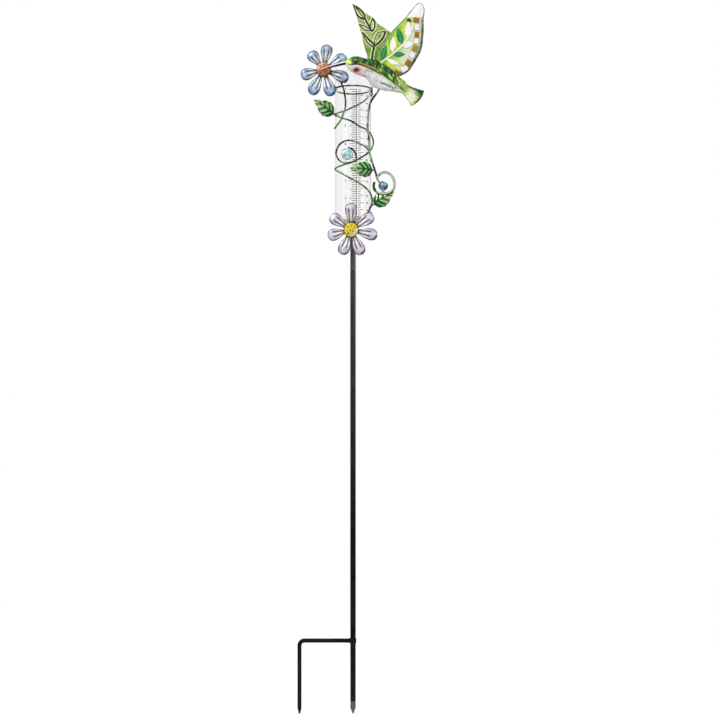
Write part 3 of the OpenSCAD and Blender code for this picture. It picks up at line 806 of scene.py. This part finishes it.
def leaf(name, at, aim, swing, stalk, pale_and_highlight):
    """An embossed leaf with a midrib, swept veins and a pale narrow tip, and its stalk.

    Aim is its direction above +X and swing its turn about the vertical, both in degrees.
    Stalk is the length of the stalk, and the last argument is the strength of the paler green on
    the blade, which is partly a painted highlight between the veins.
    """
    u, v = grid(np.linspace(0.004, 0.996, 120), crowded(81))
    outline = smooth(LEAF_OUTLINE, 12)
    long = u * LEAF_L
    lobes = 1 + 0.10 * np.abs(np.sin(np.pi * (u * 4.2 + 0.1))) * step(0.02, 0.2, u)
    side = np.interp(long, outline[:, 0], outline[:, 1]) * v * lobes * 0.94
    sweep_back = u - 0.30 * np.abs(v) * (1 - 0.4 * u)
    phase = (sweep_back * 4.4 + 0.15) % 1
    vein = np.maximum(bell(phase, 0, 0.13), bell(phase, 1, 0.13)) * step(1.0, 0.85, np.abs(v))
    midrib = bell(v * LEAF_W / 2 * np.sin(np.pi * u * 0.9 + 0.15), 0, 0.75)
    groove = np.maximum(vein * step(0.04, 0.15, np.abs(v)), midrib)
    lift = 1.9 * np.sqrt(1 - 0.97 * v**2) * np.sin(np.pi * u**0.8) ** 0.5 + 0.5
    lift = lift - 1.2 * groove + 0.8 * np.sin(np.pi * phase) * (1 - np.abs(v))
    bow = 2.2 * np.sin(np.pi * u * 0.9) - 1.4 * v**2
    front = xyz(long, -lift - bow, side)
    # Painted highlight on one side of each vein
    glint = bell(phase, 0.26, 0.12) * step(0.1, 0.3, v) * step(1.0, 0.8, v) * step(0.1, 0.3, u)
    dark = np.maximum(step(0.24, 0.02, u), step(0.86, 0.98, np.abs(v)))
    colour = layered(
        (0.02, 0.22, 0.03),
        ((0.14, 0.54, 0.09), bell(phase, 0.5, 0.3)),
        ((0.80, 0.95, 0.70), 0.9 * glint),
        # Painted shade on the other side of each vein
        ((0.005, 0.055, 0.008), 0.8 * bell(phase, 0.86, 0.16) * step(0.8, 0.6, u)),
        ((0.62, 0.82, 0.42), 0.85 * step(0.62, 0.74, u)),
        # Paler green, partly a painted highlight between the veins
        ((0.62, 0.90, 0.46), pale_and_highlight * step(0.2, 0.5, u) * bell(phase, 0.45, 0.3)),
        ((0.004, 0.05, 0.008), 0.8 * dark))
    blade = (plate(front, front + [0, SHEET, 0]), both(colour), both(np.clip(groove, 0, 1)))
    stem = sweep(np.array([[-stalk, 0, 0], [0, 0, 0], [4.0, -0.4, 0]]), 1.0, 12)
    parts = []
    for rings, paint, dark_marks_and_shade in (blade, (stem, (0.02, 0.06, 0.02), 0.3)):
        rings = turned(turned(rings, -aim, 1), swing, 2) + on_gauge(at)
        parts.append((rings, paint, dark_marks_and_shade))
    make_piece(name, parts, leaf_enamel, "leaf_green")


def build_leaves():
    leaf("leaf_left", [-27.4, -16.6, 147.1], 144.6, 6, 6, 0.4)
    leaf("leaf_middle", [27.6, -20.2, 67.6], 178, 21, 5.4, 0.2)
    leaf("leaf_right", [29.7, -14.2, 20.6], 33, 4, 8.4, 0.9)


# Stones

def pebble(name, fullness, material, slot, ripple):
    """A glass pebble as wide as its CAD solid, with a gently uneven surface."""
    low, high = box_mm(name)
    polar, angle = ball_angles(60, 96)
    r = 1 - ripple * (1 + np.sin(3 * angle + 1) * np.sin(2 * polar) + 0.5 * np.sin(5 * angle))
    rings = ball(polar, angle, r, (high - low) / 2, fullness) + middle(name)
    make_piece(name, [(rings, WHITE, 0.0)], material, slot)


def build_stones():
    aqua = swirled_glass("aqua_glass", (0.20, 0.50, 0.52), (0.86, 0.96, 0.94),
                         (0.04, 0.24, 0.26), 0.1)
    navy = swirled_glass("navy_glass", (0.008, 0.07, 0.15), (0.22, 0.58, 0.74),
                         (0.002, 0.006, 0.02), 0.1)
    pebble("turquoise_stone", 0.7, aqua, "turquoise_glass", 0.03)
    pebble("blue_stone", 0.85, navy, "blue_glass", 0.012)


# Bird

# Outlines of the body from beak to tail; its half width, and the share of its height above
# the parting line, at as many even steps
BODY_TOP = [[0, 2], [5, 5.8], [16, 9.2], [30, 5.4], [45, 2.6], [60, -4.6], [72, -16.5], [86, -28]]
BODY_BOTTOM = [[0, -1.5], [7, -10.5], [18, -16.4], [29, -20.8], [38, -31.6], [53, -37.8],
               [70, -39.8], [83, -42]]
BODY_HALF = [0.2, 0.62, 0.92, 0.94, 1, 0.92, 0.66, 0.36]
BODY_PARTING = [0.5, 0.6, 0.52, 0.52, 0.49, 0.58, 0.73, 0.96]
BODY_DEPTH = 8.5
TAIL_TOP = [[71, -17.5], [79, -23.8], [90, -31.6], [100, -35.4], [110, -38.4]]
TAIL_BOTTOM = [[69, -39.6], [79, -42], [84.6, -48.4], [88.4, -54], [92, -59.8]]
BEAK_TIP = np.array([-38, -5.6, -12.6])


def body_grid(share):
    """Body surface, the way out of it and the distance along it.

    Share runs over columns: from -1 to 1 across the green back, past 1 on the white breast.
    """
    steps = 26
    top, bottom = smooth(BODY_TOP, steps), smooth(BODY_BOTTOM, steps)
    half = smooth(BODY_HALF, steps)[:, None] * BODY_DEPTH
    parting = np.arccos(1 - 2 * smooth(BODY_PARTING, steps))[:, None]
    centre, rise = (top + bottom) / 2, (top - bottom) / 2
    inner = np.clip(share, -1, 1) * parting
    outer = np.maximum(share - 1, 0) * (2 * np.pi - 2 * parting)
    angle = inner + outer
    x = centre[:, :1] + rise[:, :1] * np.cos(angle)
    z = centre[:, 1:] + rise[:, 1:] * np.cos(angle)
    y = half * np.sin(angle)
    out = xyz(x - centre[:, :1], y * 1.6, z - centre[:, 1:])
    out /= np.linalg.norm(out, axis=-1)[..., None] + 1e-9
    return xyz(x, y, z), out, lengths(centre)[:, None] + 0 * angle


def build_back():
    """Green back of irregular scale feathers, with a golden lower edge."""
    share = np.linspace(-1, 1, 221)[None, :]
    points, out, along = body_grid(share)
    x, z = points[..., 0], points[..., 2]
    across = np.abs(share) + 0 * x
    tone, edge = patchwork(along, share * 13 + 0 * x, 3.3, 5)
    feathered = step(17, 23, x)
    strip = step(0.72, 0.80, across)
    scale = step(0.1, 1.4, edge) * feathered * (1 - strip)
    shell = points + out * (0.35 + 0.5 * scale + 0.35 * strip)[..., None]
    rear = mix((0.20, 0.44, 0.03), (0.66, 0.80, 0.34), step(0.1, 0.9, tone))
    colour = layered(
        (0.003, 0.035, 0.006),
        ((0.06, 0.27, 0.03), step(0.2, 0.75, tone)),
        ((0.40, 0.66, 0.12), step(0.83, 0.88, tone) * step(24, 34, x)),
        (rear, step(65, 75, x)),
        ((0.008, 0.06, 0.01), 0.8 * bell(x, 60, 9) * step(0.75, 0.55, tone)),
        ((0.58, 0.76, 0.13), step(11, 5, x + 0.3 * z)),
        ((0.40, 0.26, 0.045),
         bell(across, 0.87, 0.05) * step(14, 20, x) * step(54, 42, x)),
        ((0.66, 0.78, 0.36), step(0.91, 0.95, across) * step(44, 54, x)),
        ((0.003, 0.008, 0.004), spot(x, z, (14.6, 0.9), (4.9, 4.8), 2)))
    outline = step(1.3, 0.2, edge) * feathered * (1 - strip) * step(90, 60, x)
    border = step(0.93, 0.97, across) * step(52, 44, x)
    border = border + bell(across, 0.87, 0.05) * step(44, 54, x)
    dark_marks_and_shade = np.clip(np.maximum(0.95 * outline, 0.9 * border), 0, 1)
    make_piece("bird_back", [(shell + BIRD_AT, colour, dark_marks_and_shade)], bird_enamel, "bird_green")


def build_breast():
    """White breast with a red throat patch, fine grey feather strokes and a few dark ones."""
    points, out, _ = body_grid(np.linspace(1, 2, 161)[None, :])
    x, z = points[..., 0], points[..., 2]
    rng = np.random.default_rng(11)
    strokes = np.zeros_like(x)
    fine, throat, belly = 84, 5, 11
    for i in range(fine + throat + belly):
        if i < fine:
            cx, weight, wide = rng.uniform(26, 76), rng.uniform(0.3, 0.75), 0.45
            cz = rng.uniform(-34, -4) - 0.2 * (cx - 24)
        elif i < fine + throat:
            cx, weight, wide = 28.5 + 2.3 * (i - fine), rng.uniform(0.7, 1), 0.8
            cz = -13.4 + rng.uniform(-2, 2)
        else:
            cx, weight, wide = 50 + 2.0 * (i - fine - throat), 1.3, 0.8
            cz = -30 - 0.3 * (cx - 51) + rng.uniform(-1.2, 1.2)
        lean = math.radians(rng.uniform(-100, -30))
        run = (x - cx) * math.cos(lean) + (z - cz) * math.sin(lean)
        off = (z - cz) * math.cos(lean) - (x - cx) * math.sin(lean)
        mark = bell(run, 0, rng.uniform(1.2, 2.3)) * bell(off, 0, wide) * weight
        strokes = np.maximum(strokes, mark)
    strokes = np.minimum(strokes, 1)
    comb = 0.5 + 0.5 * np.sin(x * 2.1 + z * 3.3 + 1.5 * np.sin(z * 0.8))
    colour = layered(
        (0.86, 0.80, 0.77),
        ((0.66, 0.65, 0.70), 0.6 * comb * step(16, 34, x)),
        ((0.95, 0.95, 0.95), 0.85 * step(42, 58, x - 0.8 * (z + 24))),
        ((0.72, 0.26, 0.28), 0.8 * spot(x, z, (17.5, -10.6), (7.0, 4.4), 1.5)),
        ((0.16, 0.006, 0.012), spot(x, z, (15.8, -10.8), (4.4, 2.9), 2)))
    shell = points + out * (0.05 + 0.2 * comb * step(14, 34, x) - 0.1 * strokes)[..., None]
    make_piece("bird_breast", [(shell + BIRD_AT, colour, strokes)], breast_enamel, "bird_white")


def build_tail():
    """Flared tail of five feathers, with a painted highlight in the middle and dark along its
    edges.
    """
    u, v, x, z = sheet_grid(TAIL_TOP, TAIL_BOTTOM, 90, 121)
    bulge = 3.0 * u**5 * np.sin(np.pi * v) ** 0.8 * (1 + 0.2 * np.cos(10 * np.pi * v))
    x, z = x + 0.78 * bulge, z - 0.62 * bulge
    feather = np.abs(np.sin(np.pi * 5 * v))
    tone, edge = patchwork(x, z, 3.4, 8)
    rim = np.minimum(np.minimum(v, 1 - v) * 9, (1 - u) * 9 + 0.02)
    lift = 2.2 * np.clip(rim, 0, 1) ** 0.5 * (1 - 0.45 * u) + 0.6 * feather * step(0.2, 0.7, u)
    lift = lift + 0.25 * step(0, 0.8, edge) * step(0.0, 0.3, u)
    thick = 1.6 + 2.2 * step(0.5, 0.0, u)
    front = xyz(x, -lift, z)
    back = xyz(x, lift * 0.5 + thick - 1.2, z)
    # Painted highlight: a yellowish glow in the middle of the flare, with a near-white spot at its
    # heart
    warm = spot(x, z, (92, -47), (10, 12))
    dark = np.maximum(step(0.92, 0.99, u) * step(0.98, 0.7, v),
                      step(0.24, 0.10, v) * step(0.35, 0.5, u))
    colour = layered(
        (0.26, 0.48, 0.04), ((0.50, 0.68, 0.15), tone),
        ((0.80, 0.90, 0.34), warm),
        ((1.0, 1.0, 0.90), 0.97 * spot(x, z, (92, -47.5), (6.5, 8))),
        ((0.03, 0.20, 0.015),
         np.clip(1.3 * spot(x, z, (106.5, -40.5), (8, 7)), 0, 1)),
        ((0.012, 0.045, 0.004), 0.92 * dark))
    groove = step(0.35, 0.0, feather) * step(0.25, 0.7, u) * 0.5 * (1 - warm)
    dark_marks_and_shade = np.maximum(groove, 0.45 * step(0.5, 0.0, edge) * step(0.8, 0.4, u))
    make_piece("bird_tail", [(plate(front, back) + BIRD_AT, both(colour), both(dark_marks_and_shade))],
               bird_enamel, "tail_green")


def build_beak():
    """Long beak, silver above and black below, with a seam between its halves; the silver top is
    partly a painted highlight and the black underside partly painted shade.
    """
    t = np.linspace(0, 1, 70)[:, None]
    path = t * BEAK_TIP + np.array([0, 0, 0.9]) * np.sin(np.pi * t)
    angle = circle(36)
    r = 2.05 * (1 - t) ** 0.75 + 0.5 * (1 - t**6) + 0.03
    seam = 1 - 0.14 * (bell(np.sin(angle), -0.1, 0.12) * (np.abs(np.cos(angle)) > 0.5))
    rings = xyz(path[:, :1], path[:, 1:2] + r * seam * np.cos(angle),
                path[:, 2:] + r * seam * np.sin(angle))
    root = rings[:1] * [0, 1, 1] + [2.5, 0, -0.4]
    rings = np.concatenate([root, rings])
    # Two tones by height round the beak: silver on top, partly a painted highlight, and black
    # below, partly painted shade
    above = step(-0.05, 0.15, np.sin(angle)) + 0 * rings[..., 0]
    colour = mix((0.003, 0.003, 0.004), (0.90, 0.90, 0.92), above)
    coat = enamel("beak_enamel", wash=(0.004, 0.004, 0.004), rough=(0.18, 0.34), coat=0.6,
                  metallic=0.25, wear_and_highlight=0.2)
    make_piece("bird_beak", [(rings + BIRD_AT, colour, 0.0)], coat, "beak_grey")


def build_eyes():
    """A thin raised ring round each eye."""
    low, high = box_mm("bird_eyes")
    centre, reach = middle("bird_eyes"), (high[1] - low[1]) / 2 - 2.0
    a = np.linspace(0, 2 * np.pi, 64)
    parts = []
    for side in (-1, 1):
        curve = centre + xyz(EYE_R * np.cos(a), side * reach, EYE_R * np.sin(a))
        parts.append((sweep(curve, 0.4, 10, 0.3, 0.0), (0.62, 0.70, 0.50), 0.0))
    make_piece("eye_rings", parts, breast_enamel, "bird_green")


# Wings

WING_SHEET = 1.2
NEAR_TILT, NEAR_OFFSET = 9, -4.0
FAR_TILT, FAR_OFFSET = -3, 3.2
NEAR_LEADING = [[43, 4], [52, 20], [63, 38], [84.2, 59.6], [97.6, 75.5], [103.3, 78.3]]
NEAR_TRAILING = [[58, -8], [72.9, -16.7], [80.8, -14.9], [88.5, -9.3], [95.3, 1.2],
                 [101, 10.7], [104.8, 20.2], [106.2, 31.5], [107.1, 44.6], [107, 56],
                 [108.6, 68], [107.2, 75.5], [103.3, 78.3]]
FAR_LEADING = [[31, 0], [30.6, 12], [27.2, 23], [22.2, 42.8], [16.4, 65.7], [10.4, 83.5]]
FAR_TRAILING = [[44, -2], [56, 24], [63, 41.8], [60.5, 45.8], [53.6, 50.9], [44.8, 56.7],
                [38.9, 64.7], [32, 68.7], [26.3, 73.7], [18.3, 81.6], [11.5, 84]]
NEAR_BRANCH = [[44, -5], [55, 3], [67.8, 12.5], [80, 23], [88, 34], [93, 46], [95, 56]]
# Leaves of the near wing: base, tip and width
DARK_LEAVES = [([79, 24], [72.4, 46.5], 8.4), ([50.5, 2.5], [57.5, 24.5], 7.6),
               ([66.5, 10], [83.5, 10.6], 6.4)]
WHITE_LEAVES = [([65.5, 13], [67.2, 35], 7.8), ([79, 22], [95, 24.4], 8.5),
                ([57, 3.6], [76, -3.6], 5.8), ([87, 31], [87.8, 55], 9.4)]
LIME_LEAVES = [([60.5, 8], [58.5, 30], 5.0), ([71, 16], [69.5, 42], 4.5),
               ([84, 27], [81, 52], 6.0), ([62, 2.5], [84, -5.5], 4.2),
               ([56, -1], [76, -12], 7.0)]
BROWN, GOLD, PEARL = (0.34, 0.16, 0.015), (0.46, 0.28, 0.03), (0.97, 0.97, 0.98)
# Blocks along the near wing's trailing edge: middle, length, depth and paint
BLOCKS = [([73.1, -15], 10, 6.5, BROWN), ([82.4, -9.5], 9.5, 8, PEARL),
          ([87.8, -1.3], 8.5, 8, BROWN), ([93.2, 9.6], 8, 7, PEARL), ([97, 18.6], 8.8, 7.4, GOLD),
          ([98.4, 28.4], 6.8, 6.4, PEARL), ([99.2, 36.9], 7.2, 5.8, BROWN),
          ([99.4, 46.6], 8, 6.6, PEARL), ([98.2, 56.2], 6.4, 8, BROWN)]
# Stamped lines of the far wing: width and points
FAR_LINES = [
    (2.8, [[37, -2], [38.5, 12], [40.8, 24]]),
    (2.6, [[40.8, 24], [47, 28.5], [53.4, 36.5], [56.2, 44.5]]),
    (1.3, [[56.2, 44.5], [46.3, 42.6], [42, 35], [40.8, 24]]),
    (2.6, [[40.6, 26], [33, 33.5], [24.3, 42.7]]),
    (1.7, [[39.6, 22.6], [32, 28], [26, 37.4]]),
    (2.3, [[37.6, 45], [40.8, 49], [41.6, 57.5], [38.4, 62.6]]),
    (1.5, [[36.4, 46], [35.3, 54], [38.2, 62.2]]),
    (1.5, [[35.6, 45.6], [28, 46.6], [19.7, 53.6]]),
    (1.3, [[35, 47.5], [27.5, 52], [19.7, 54.8]]),
    (2.4, [[36.4, 46], [32.4, 54], [27.8, 62]]),
    (2.4, [[27.8, 62], [27, 68], [22, 74.6], [15.6, 79.6]]),
    (2.4, [[27.8, 62], [20, 64.5], [14.6, 72.5], [12.4, 81]]),
    (1.2, [[25.4, 64.5], [20.5, 71], [15.8, 77.5]]),
    (2.6, [[8.6, 84], [11.6, 79]]),
]


def wing_piece(name, x, z, lift, tilt, offset, colour, dark_marks_and_shade, slot):
    """A painted sheet, tilted back about the bird's length and set off from its middle."""
    front = xyz(x, -lift, z)
    rings = turned(plate(front, front + [0, WING_SHEET, 0]), tilt, 0) + BIRD_AT + [0, offset, 0]
    make_piece(name, [(rings, both(colour), both(dark_marks_and_shade))], wing_enamel, slot)


def block(x, z, rim, at, long, deep):
    """1 inside a block laid along the rim, and the same for the block with its dark gap."""
    nearest = np.argmin(np.hypot(rim[:, 0] - at[0], rim[:, 1] - at[1]))
    tx, tz = rim[min(nearest + 4, len(rim) - 1)] - rim[max(nearest - 4, 0)]
    size = math.hypot(tx, tz)
    along = np.abs((x - at[0]) * tx + (z - at[1]) * tz) / size
    depth = np.abs((z - at[1]) * tx - (x - at[0]) * tz) / size
    return [step(-0.35, 0.35, long / 2 + gap - along) * step(-0.35, 0.35, deep / 2 + gap - depth)
            for gap in (0, 0.7)]


def build_near_wing():
    """Near wing: enamel cells of leaves on a branch, with brown and white blocks at the edge."""
    u, v, x, z = sheet_grid(NEAR_LEADING, NEAR_TRAILING, 300, 200)
    tone, _ = patchwork(x, z, 4.2, 21)
    across = (x - 74) - 0.25 * (z - 20)
    rim = even(smooth(NEAR_TRAILING, 12), 300)
    inset = np.min(np.hypot(x[..., None] - rim[::6, 0], z[..., None] - rim[::6, 1]), axis=-1)
    colour = layered(
        (0.24, 0.50, 0.02),
        ((0.56, 0.70, 0.14), step(-14, 8, across) * 0.8 + 0.2 * tone),
        ((0.82, 0.83, 0.62), 0.9 * step(-2, 16, across - 0.2 * (z - 20))),
        ((0.20, 0.42, 0.02), step(0.7, 0.8, tone) * step(66, 54, x + 0.4 * z)))
    raised, gap = np.zeros_like(x), np.zeros_like(x)
    for cells, paint, outline in ((LIME_LEAVES, (0.60, 0.76, 0.08), 0.0),
                                  (WHITE_LEAVES, (0.97, 0.96, 0.97), 0.25),
                                  (DARK_LEAVES, (0.012, 0.20, 0.06), 1.0)):
        for base, tip, width in cells:
            inside = leaf_shape(x, z, base, tip, width)
            colour = mix(colour, paint, inside)
            raised = np.maximum(raised, inside)
            gap = np.maximum(gap, outline * (leaf_shape(x, z, base, tip, width + 1) - inside))
    for base, tip, width in DARK_LEAVES:
        colour = mix(colour, (0.03, 0.40, 0.15), 0.8 * leaf_shape(x, z, base, tip, width * 0.4))
    branch = stroke(x, z, NEAR_BRANCH, 2.2)
    colour = layered(colour, ((0.90, 0.91, 0.80), branch),
                     # Painted shade of the thick rim: a grey-green band just inside the trailing
                     # edge
                     ((0.36, 0.40, 0.26), 0.8 * step(3.4, 2.0, inset)))
    for at, long, deep, paint in BLOCKS:
        inside, outside = block(x, z, rim, at, long, deep)
        colour = mix(colour, paint, inside)
        raised = np.maximum(raised, inside)
        gap = np.maximum(gap * (1 - inside), 0.7 * (outside - inside))
    mark = leaf_shape(x, z, [84.6, 57.5], [92, 54.5], 5.0)
    colour = layered(colour, ((0.97, 0.97, 0.97), step(59.5, 61, z)), ((0.05, 0.05, 0.008), mark))
    raised = np.maximum(np.maximum(raised, mark), branch)
    lift = 0.7 + 0.6 * raised + 0.15 * tone + 1.3 * np.sin(np.pi * v) ** 0.7 * step(0.0, 0.1, u)
    wing_piece("wing_near", x, z, lift, NEAR_TILT, NEAR_OFFSET, colour,
               np.clip(0.8 * gap, 0, 1), "wing_painted")


def build_wing_rim():
    """Wire round the near wing, thicker along the trailing edge, and darker there with painted
    shade.
    """
    leading = even(smooth(NEAR_LEADING, 12), 120)[4:]
    trailing = even(smooth(NEAR_TRAILING, 12), 120)[::-1][1:-12]
    rim = np.vstack([leading, trailing])
    path = xyz(rim[:, 0], 0, rim[:, 1])
    rings = sweep(turned(path, NEAR_TILT, 0) + BIRD_AT + [0, NEAR_OFFSET, 0], 1.0)
    share = np.linspace(0, 1, len(rings))[:, None, None]
    centre = rings.mean(axis=1, keepdims=True)
    behind = step(0.50, 0.62, share)
    rings = centre + (rings - centre) * (1.05 + 0.65 * behind)
    # Painted shade darkens the rim along the trailing edge
    make_piece("wing_near_rim", [(rings, BLACK, 0.55 * behind[..., 0])], rim_coat, "rim_grey")


def build_far_wing():
    """Far wing: one stamped sheet with black lines of leaves and raised ridges beside them, painted
    pale as a highlight.
    """
    u, v, x, z = sheet_grid(FAR_LEADING, FAR_TRAILING, 300, 160)
    tone, _ = patchwork(x, z, 3.6, 4)
    line, glow = np.zeros_like(x), np.zeros_like(x)
    for width, points in FAR_LINES:
        line = np.maximum(line, stroke(x, z, points, width, 0.35))
        glow = np.maximum(glow, stroke(x, z, points, width + 3.4, 0.6))
    glow = glow * (1 - line)
    border = np.maximum(step(0.05, 0.01, v) * step(0.5, 0.3, u), step(0.97, 0.99, v))
    colour = layered(
        (0.12, 0.36, 0.02),
        ((0.36, 0.46, 0.09), step(4, 40, z)),
        ((0.22, 0.26, 0.05), 0.7 * step(50, 74, z)),
        ((0.10, 0.24, 0.02), 0.7 * step(0.62, 0.72, tone)),
        # Painted highlight on the raised ridges beside the lines
        ((0.76, 0.83, 0.50), 0.9 * glow * (0.7 + 0.3 * tone)),
        ((0.03, 0.06, 0.008), 0.8 * np.maximum(border, step(0.965, 1.0, u))))
    lift = 0.6 + 0.8 * glow - 0.45 * line + 0.2 * tone + 1.2 * np.sin(np.pi * v) ** 0.7
    wing_piece("wing_far", x, z, lift, FAR_TILT, FAR_OFFSET, colour, line, "wing_olive")


# Scale and small parts

INCH = 25.4
ZERO_H = 2.2
INK_R = TUBE_R + 0.08
INCH_ANGLE, MM_ANGLE = -24.7, 50.0


def digits(material):
    """Inch numbers left of the scale and millimetre numbers right of it, bent round the tube."""
    marks = [(str(i), INCH_ANGLE, ZERO_H + i * INCH, 5.4) for i in range(1, 8)]
    marks += [(str(i * 10), MM_ANGLE, ZERO_H + i * 10, 3.6) for i in range(1, 18)]
    points, faces = [], []
    for text, angle, height, size in marks:
        curve = bpy.data.curves.new("digit", "FONT")
        curve.body = text
        curve.size = size
        curve.align_x = curve.align_y = "CENTER"
        curve.extrude = 0.05
        curve.offset = 0.06
        holder = add_object("digit", curve)
        flat = holder.evaluated_get(bpy.context.evaluated_depsgraph_get()).to_mesh()
        start = len(points)
        for vertex in flat.vertices:
            turn = math.radians(angle) + vertex.co.x / TUBE_R
            r = INK_R + vertex.co.z
            points.append((r * math.sin(turn) * MM, -r * math.cos(turn) * MM,
                           (BASE + height + vertex.co.y) * MM))
        faces += [[start + i for i in face.vertices] for face in flat.polygons]
        bpy.data.objects.remove(holder)
        bpy.data.curves.remove(curve)
    mesh = bpy.data.meshes.new("scale_numbers")
    mesh.from_pydata(points, [], faces)
    clean(mesh)
    place("scale_numbers", mesh, material, "scale_ink", "tube")


def weld_bead():
    """Lumpy weld where the prong's rod meets the stake."""
    high = box_mm("side_prong")[1]
    x, z, r = high[0] - 1.4, high[2] - PRONG_R, PRONG_R + 0.05
    t = np.linspace(0, 2 * np.pi, 90)
    curve = xyz(x + 0.4 * np.cos(2 * t), r * np.cos(t), z + r * np.sin(t))
    rings = sweep(curve, 0.65, 12, 0.4, 0.16)
    make_piece("weld_bead", [(rings, BLACK, 0.0)], stake_coat, "stake_black", "stake")


def dress(node, material):
    """Gives a CAD node its material, and smooth shading on its curved faces."""
    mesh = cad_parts[node].data
    mesh.materials.clear()
    mesh.materials.append(material)
    mesh.shade_smooth()
    mesh.set_sharp_from_angle(angle=math.radians(CAD_SHARP_ANGLE))


def dress_cad():
    """Materials of the CAD pieces that stay in view, and the numbers printed on the tube."""
    brass = metal("rivet_brass", (0.55, 0.40, 0.18), (0.25, 0.5))
    scale_ink = cloudy_paint("scale_ink", (0.010, 0.010, 0.012), (0.052, 0.052, 0.056), 0.7,
                             0.45, 0.8, (0.5, 0.7), 0.4)
    eye = cloudy_paint("eye_enamel", (0.004, 0.004, 0.005), (0.03, 0.018, 0.01), 1.4,
                       0.35, 0.7, (0.04, 0.12), 0.3, coat=1.0)
    coats = {
        "stake_tube": stake_coat, "side_prong": stake_coat, "flower_bracket": stake_coat,
        "socket_tube": powder_coat("socket_coat", (0.024, 0.024, 0.025), (0.12, 0.12, 0.12),
                                   gloss=(0.9, 0.9)),
        "spike_tip": powder_coat("tip_coat", (0.10, 0.065, 0.085), (0.30, 0.25, 0.28), 0.6, 0.58),
        "coupling_pin": metal("pin_steel", (0.004, 0.004, 0.005), (0.4, 0.6), (1, 1, 8)),
        "tube_cup": powder_coat("dish_coat", (0.93, 0.92, 0.88), (0.7, 0.7, 0.66), 0.6, 0.7),
        "rain_tube": clear_glass(),
        "scale_print": scale_ink,
        "purple_rivet": brass, "blue_rivet": brass,
        "bird_eyes": eye,
    }
    for node, coat in coats.items():
        dress(node, coat)
    digits(scale_ink)


# Stage

CAMERA_AT = (9.94, -1690.0, 401.4)
HALF_VIEW = 511.2
FLOOR_HALF = 0.8


def build_camera():
    """Camera level with the middle of the stake, looking along +Y."""
    data = bpy.data.cameras.new("camera")
    data.lens = data.sensor_width / 2 * -CAMERA_AT[1] / HALF_VIEW
    data.clip_end = 50
    camera = add_object("camera", data)
    camera.location = [c * MM for c in CAMERA_AT]
    camera.rotation_euler = (math.radians(90), 0, 0)
    bpy.context.scene.camera = camera


def area_light(name, at, aim, size, power):
    """A round lamp at a place in metres that shines towards another."""
    data = bpy.data.lights.new(name, "AREA")
    data.shape = "DISK"
    data.size = size
    data.energy = power
    light = add_object(name, data)
    light.location = at
    light.rotation_euler = (Vector(aim) - Vector(at)).to_track_quat("-Z", "Y").to_euler()


def build_world():
    """White for the camera and through glass; for light, brightest overhead, darker sideways."""
    world = bpy.data.worlds.new("studio")
    bpy.context.scene.world = world
    nodes = Nodes(world, "OutputWorld")
    seen = nodes.add("Background", {"Color": (1, 1, 1, 1)})
    way = nodes.add("TexCoord").outputs["Generated"]
    height = nodes.add("SeparateXYZ", {0: way}).outputs["Z"]
    lit = nodes.add("Background", {"Strength": nodes.remap(height, -0.4, 0.8, 0.25, 1.05)})
    ray = nodes.add("LightPath").outputs
    direct = nodes.math("MAXIMUM", ray["Is Camera Ray"], ray["Is Transmission Ray"])
    nodes.surface(nodes.add("MixShader", {0: direct, 1: lit.outputs[0], 2: seen.outputs[0]}))


def build_floor():
    """Plain pale floor under the points of the stake that fades into the white background."""
    m = Material("floor_paint")
    speck = m.noise(40.0, 3)
    glow = m.remap(speck, 0.3, 0.7, 0.14, 0.16)
    radius = m.add("VectorMath", {0: m.place}, operation="LENGTH").outputs["Value"]
    paint = m.mix(m.remap(speck, 0.3, 0.7, 0, 1), (0.86, 0.86, 0.86), (0.89, 0.89, 0.89))
    m.set(Base_Color=paint, Roughness=0.9, Emission_Color=(1, 1, 1, 1), Emission_Strength=glow,
          Alpha=m.remap(radius, 0.15, 0.75, 1, 0))
    z = SPIKE_END * MM - 0.0004
    corners = [(x * FLOOR_HALF, y * FLOOR_HALF, z) for x, y in ((-1, -1), (1, -1), (1, 1), (-1, 1))]
    mesh = bpy.data.meshes.new("floor")
    mesh.from_pydata(corners, [], [(0, 1, 2, 3)])
    mesh.materials.append(m.made)
    add_object("floor", mesh)


def build_stage():
    """Floor, background, camera and three lamps."""
    build_floor()
    build_world()
    build_camera()
    area_light("key", (-1.1, -1.3, 1.7), (0, 0, 0.65), 0.7, 26)
    area_light("fill", (1.3, -0.9, 0.9), (0, 0, 0.6), 1.0, 6)
    area_light("rim", (0.4, 1.1, 1.5), (0, 0, 0.7), 0.8, 9)
    bpy.context.scene.view_settings.view_transform = "Standard"


build_wires()
build_curl()
build_ring()
solder_blob()
build_flowers()
build_leaves()
build_stones()
build_back()
build_breast()
build_tail()
build_beak()
build_eyes()
build_near_wing()
build_wing_rim()
build_far_wing()
weld_bead()
dress_cad()
build_stage()
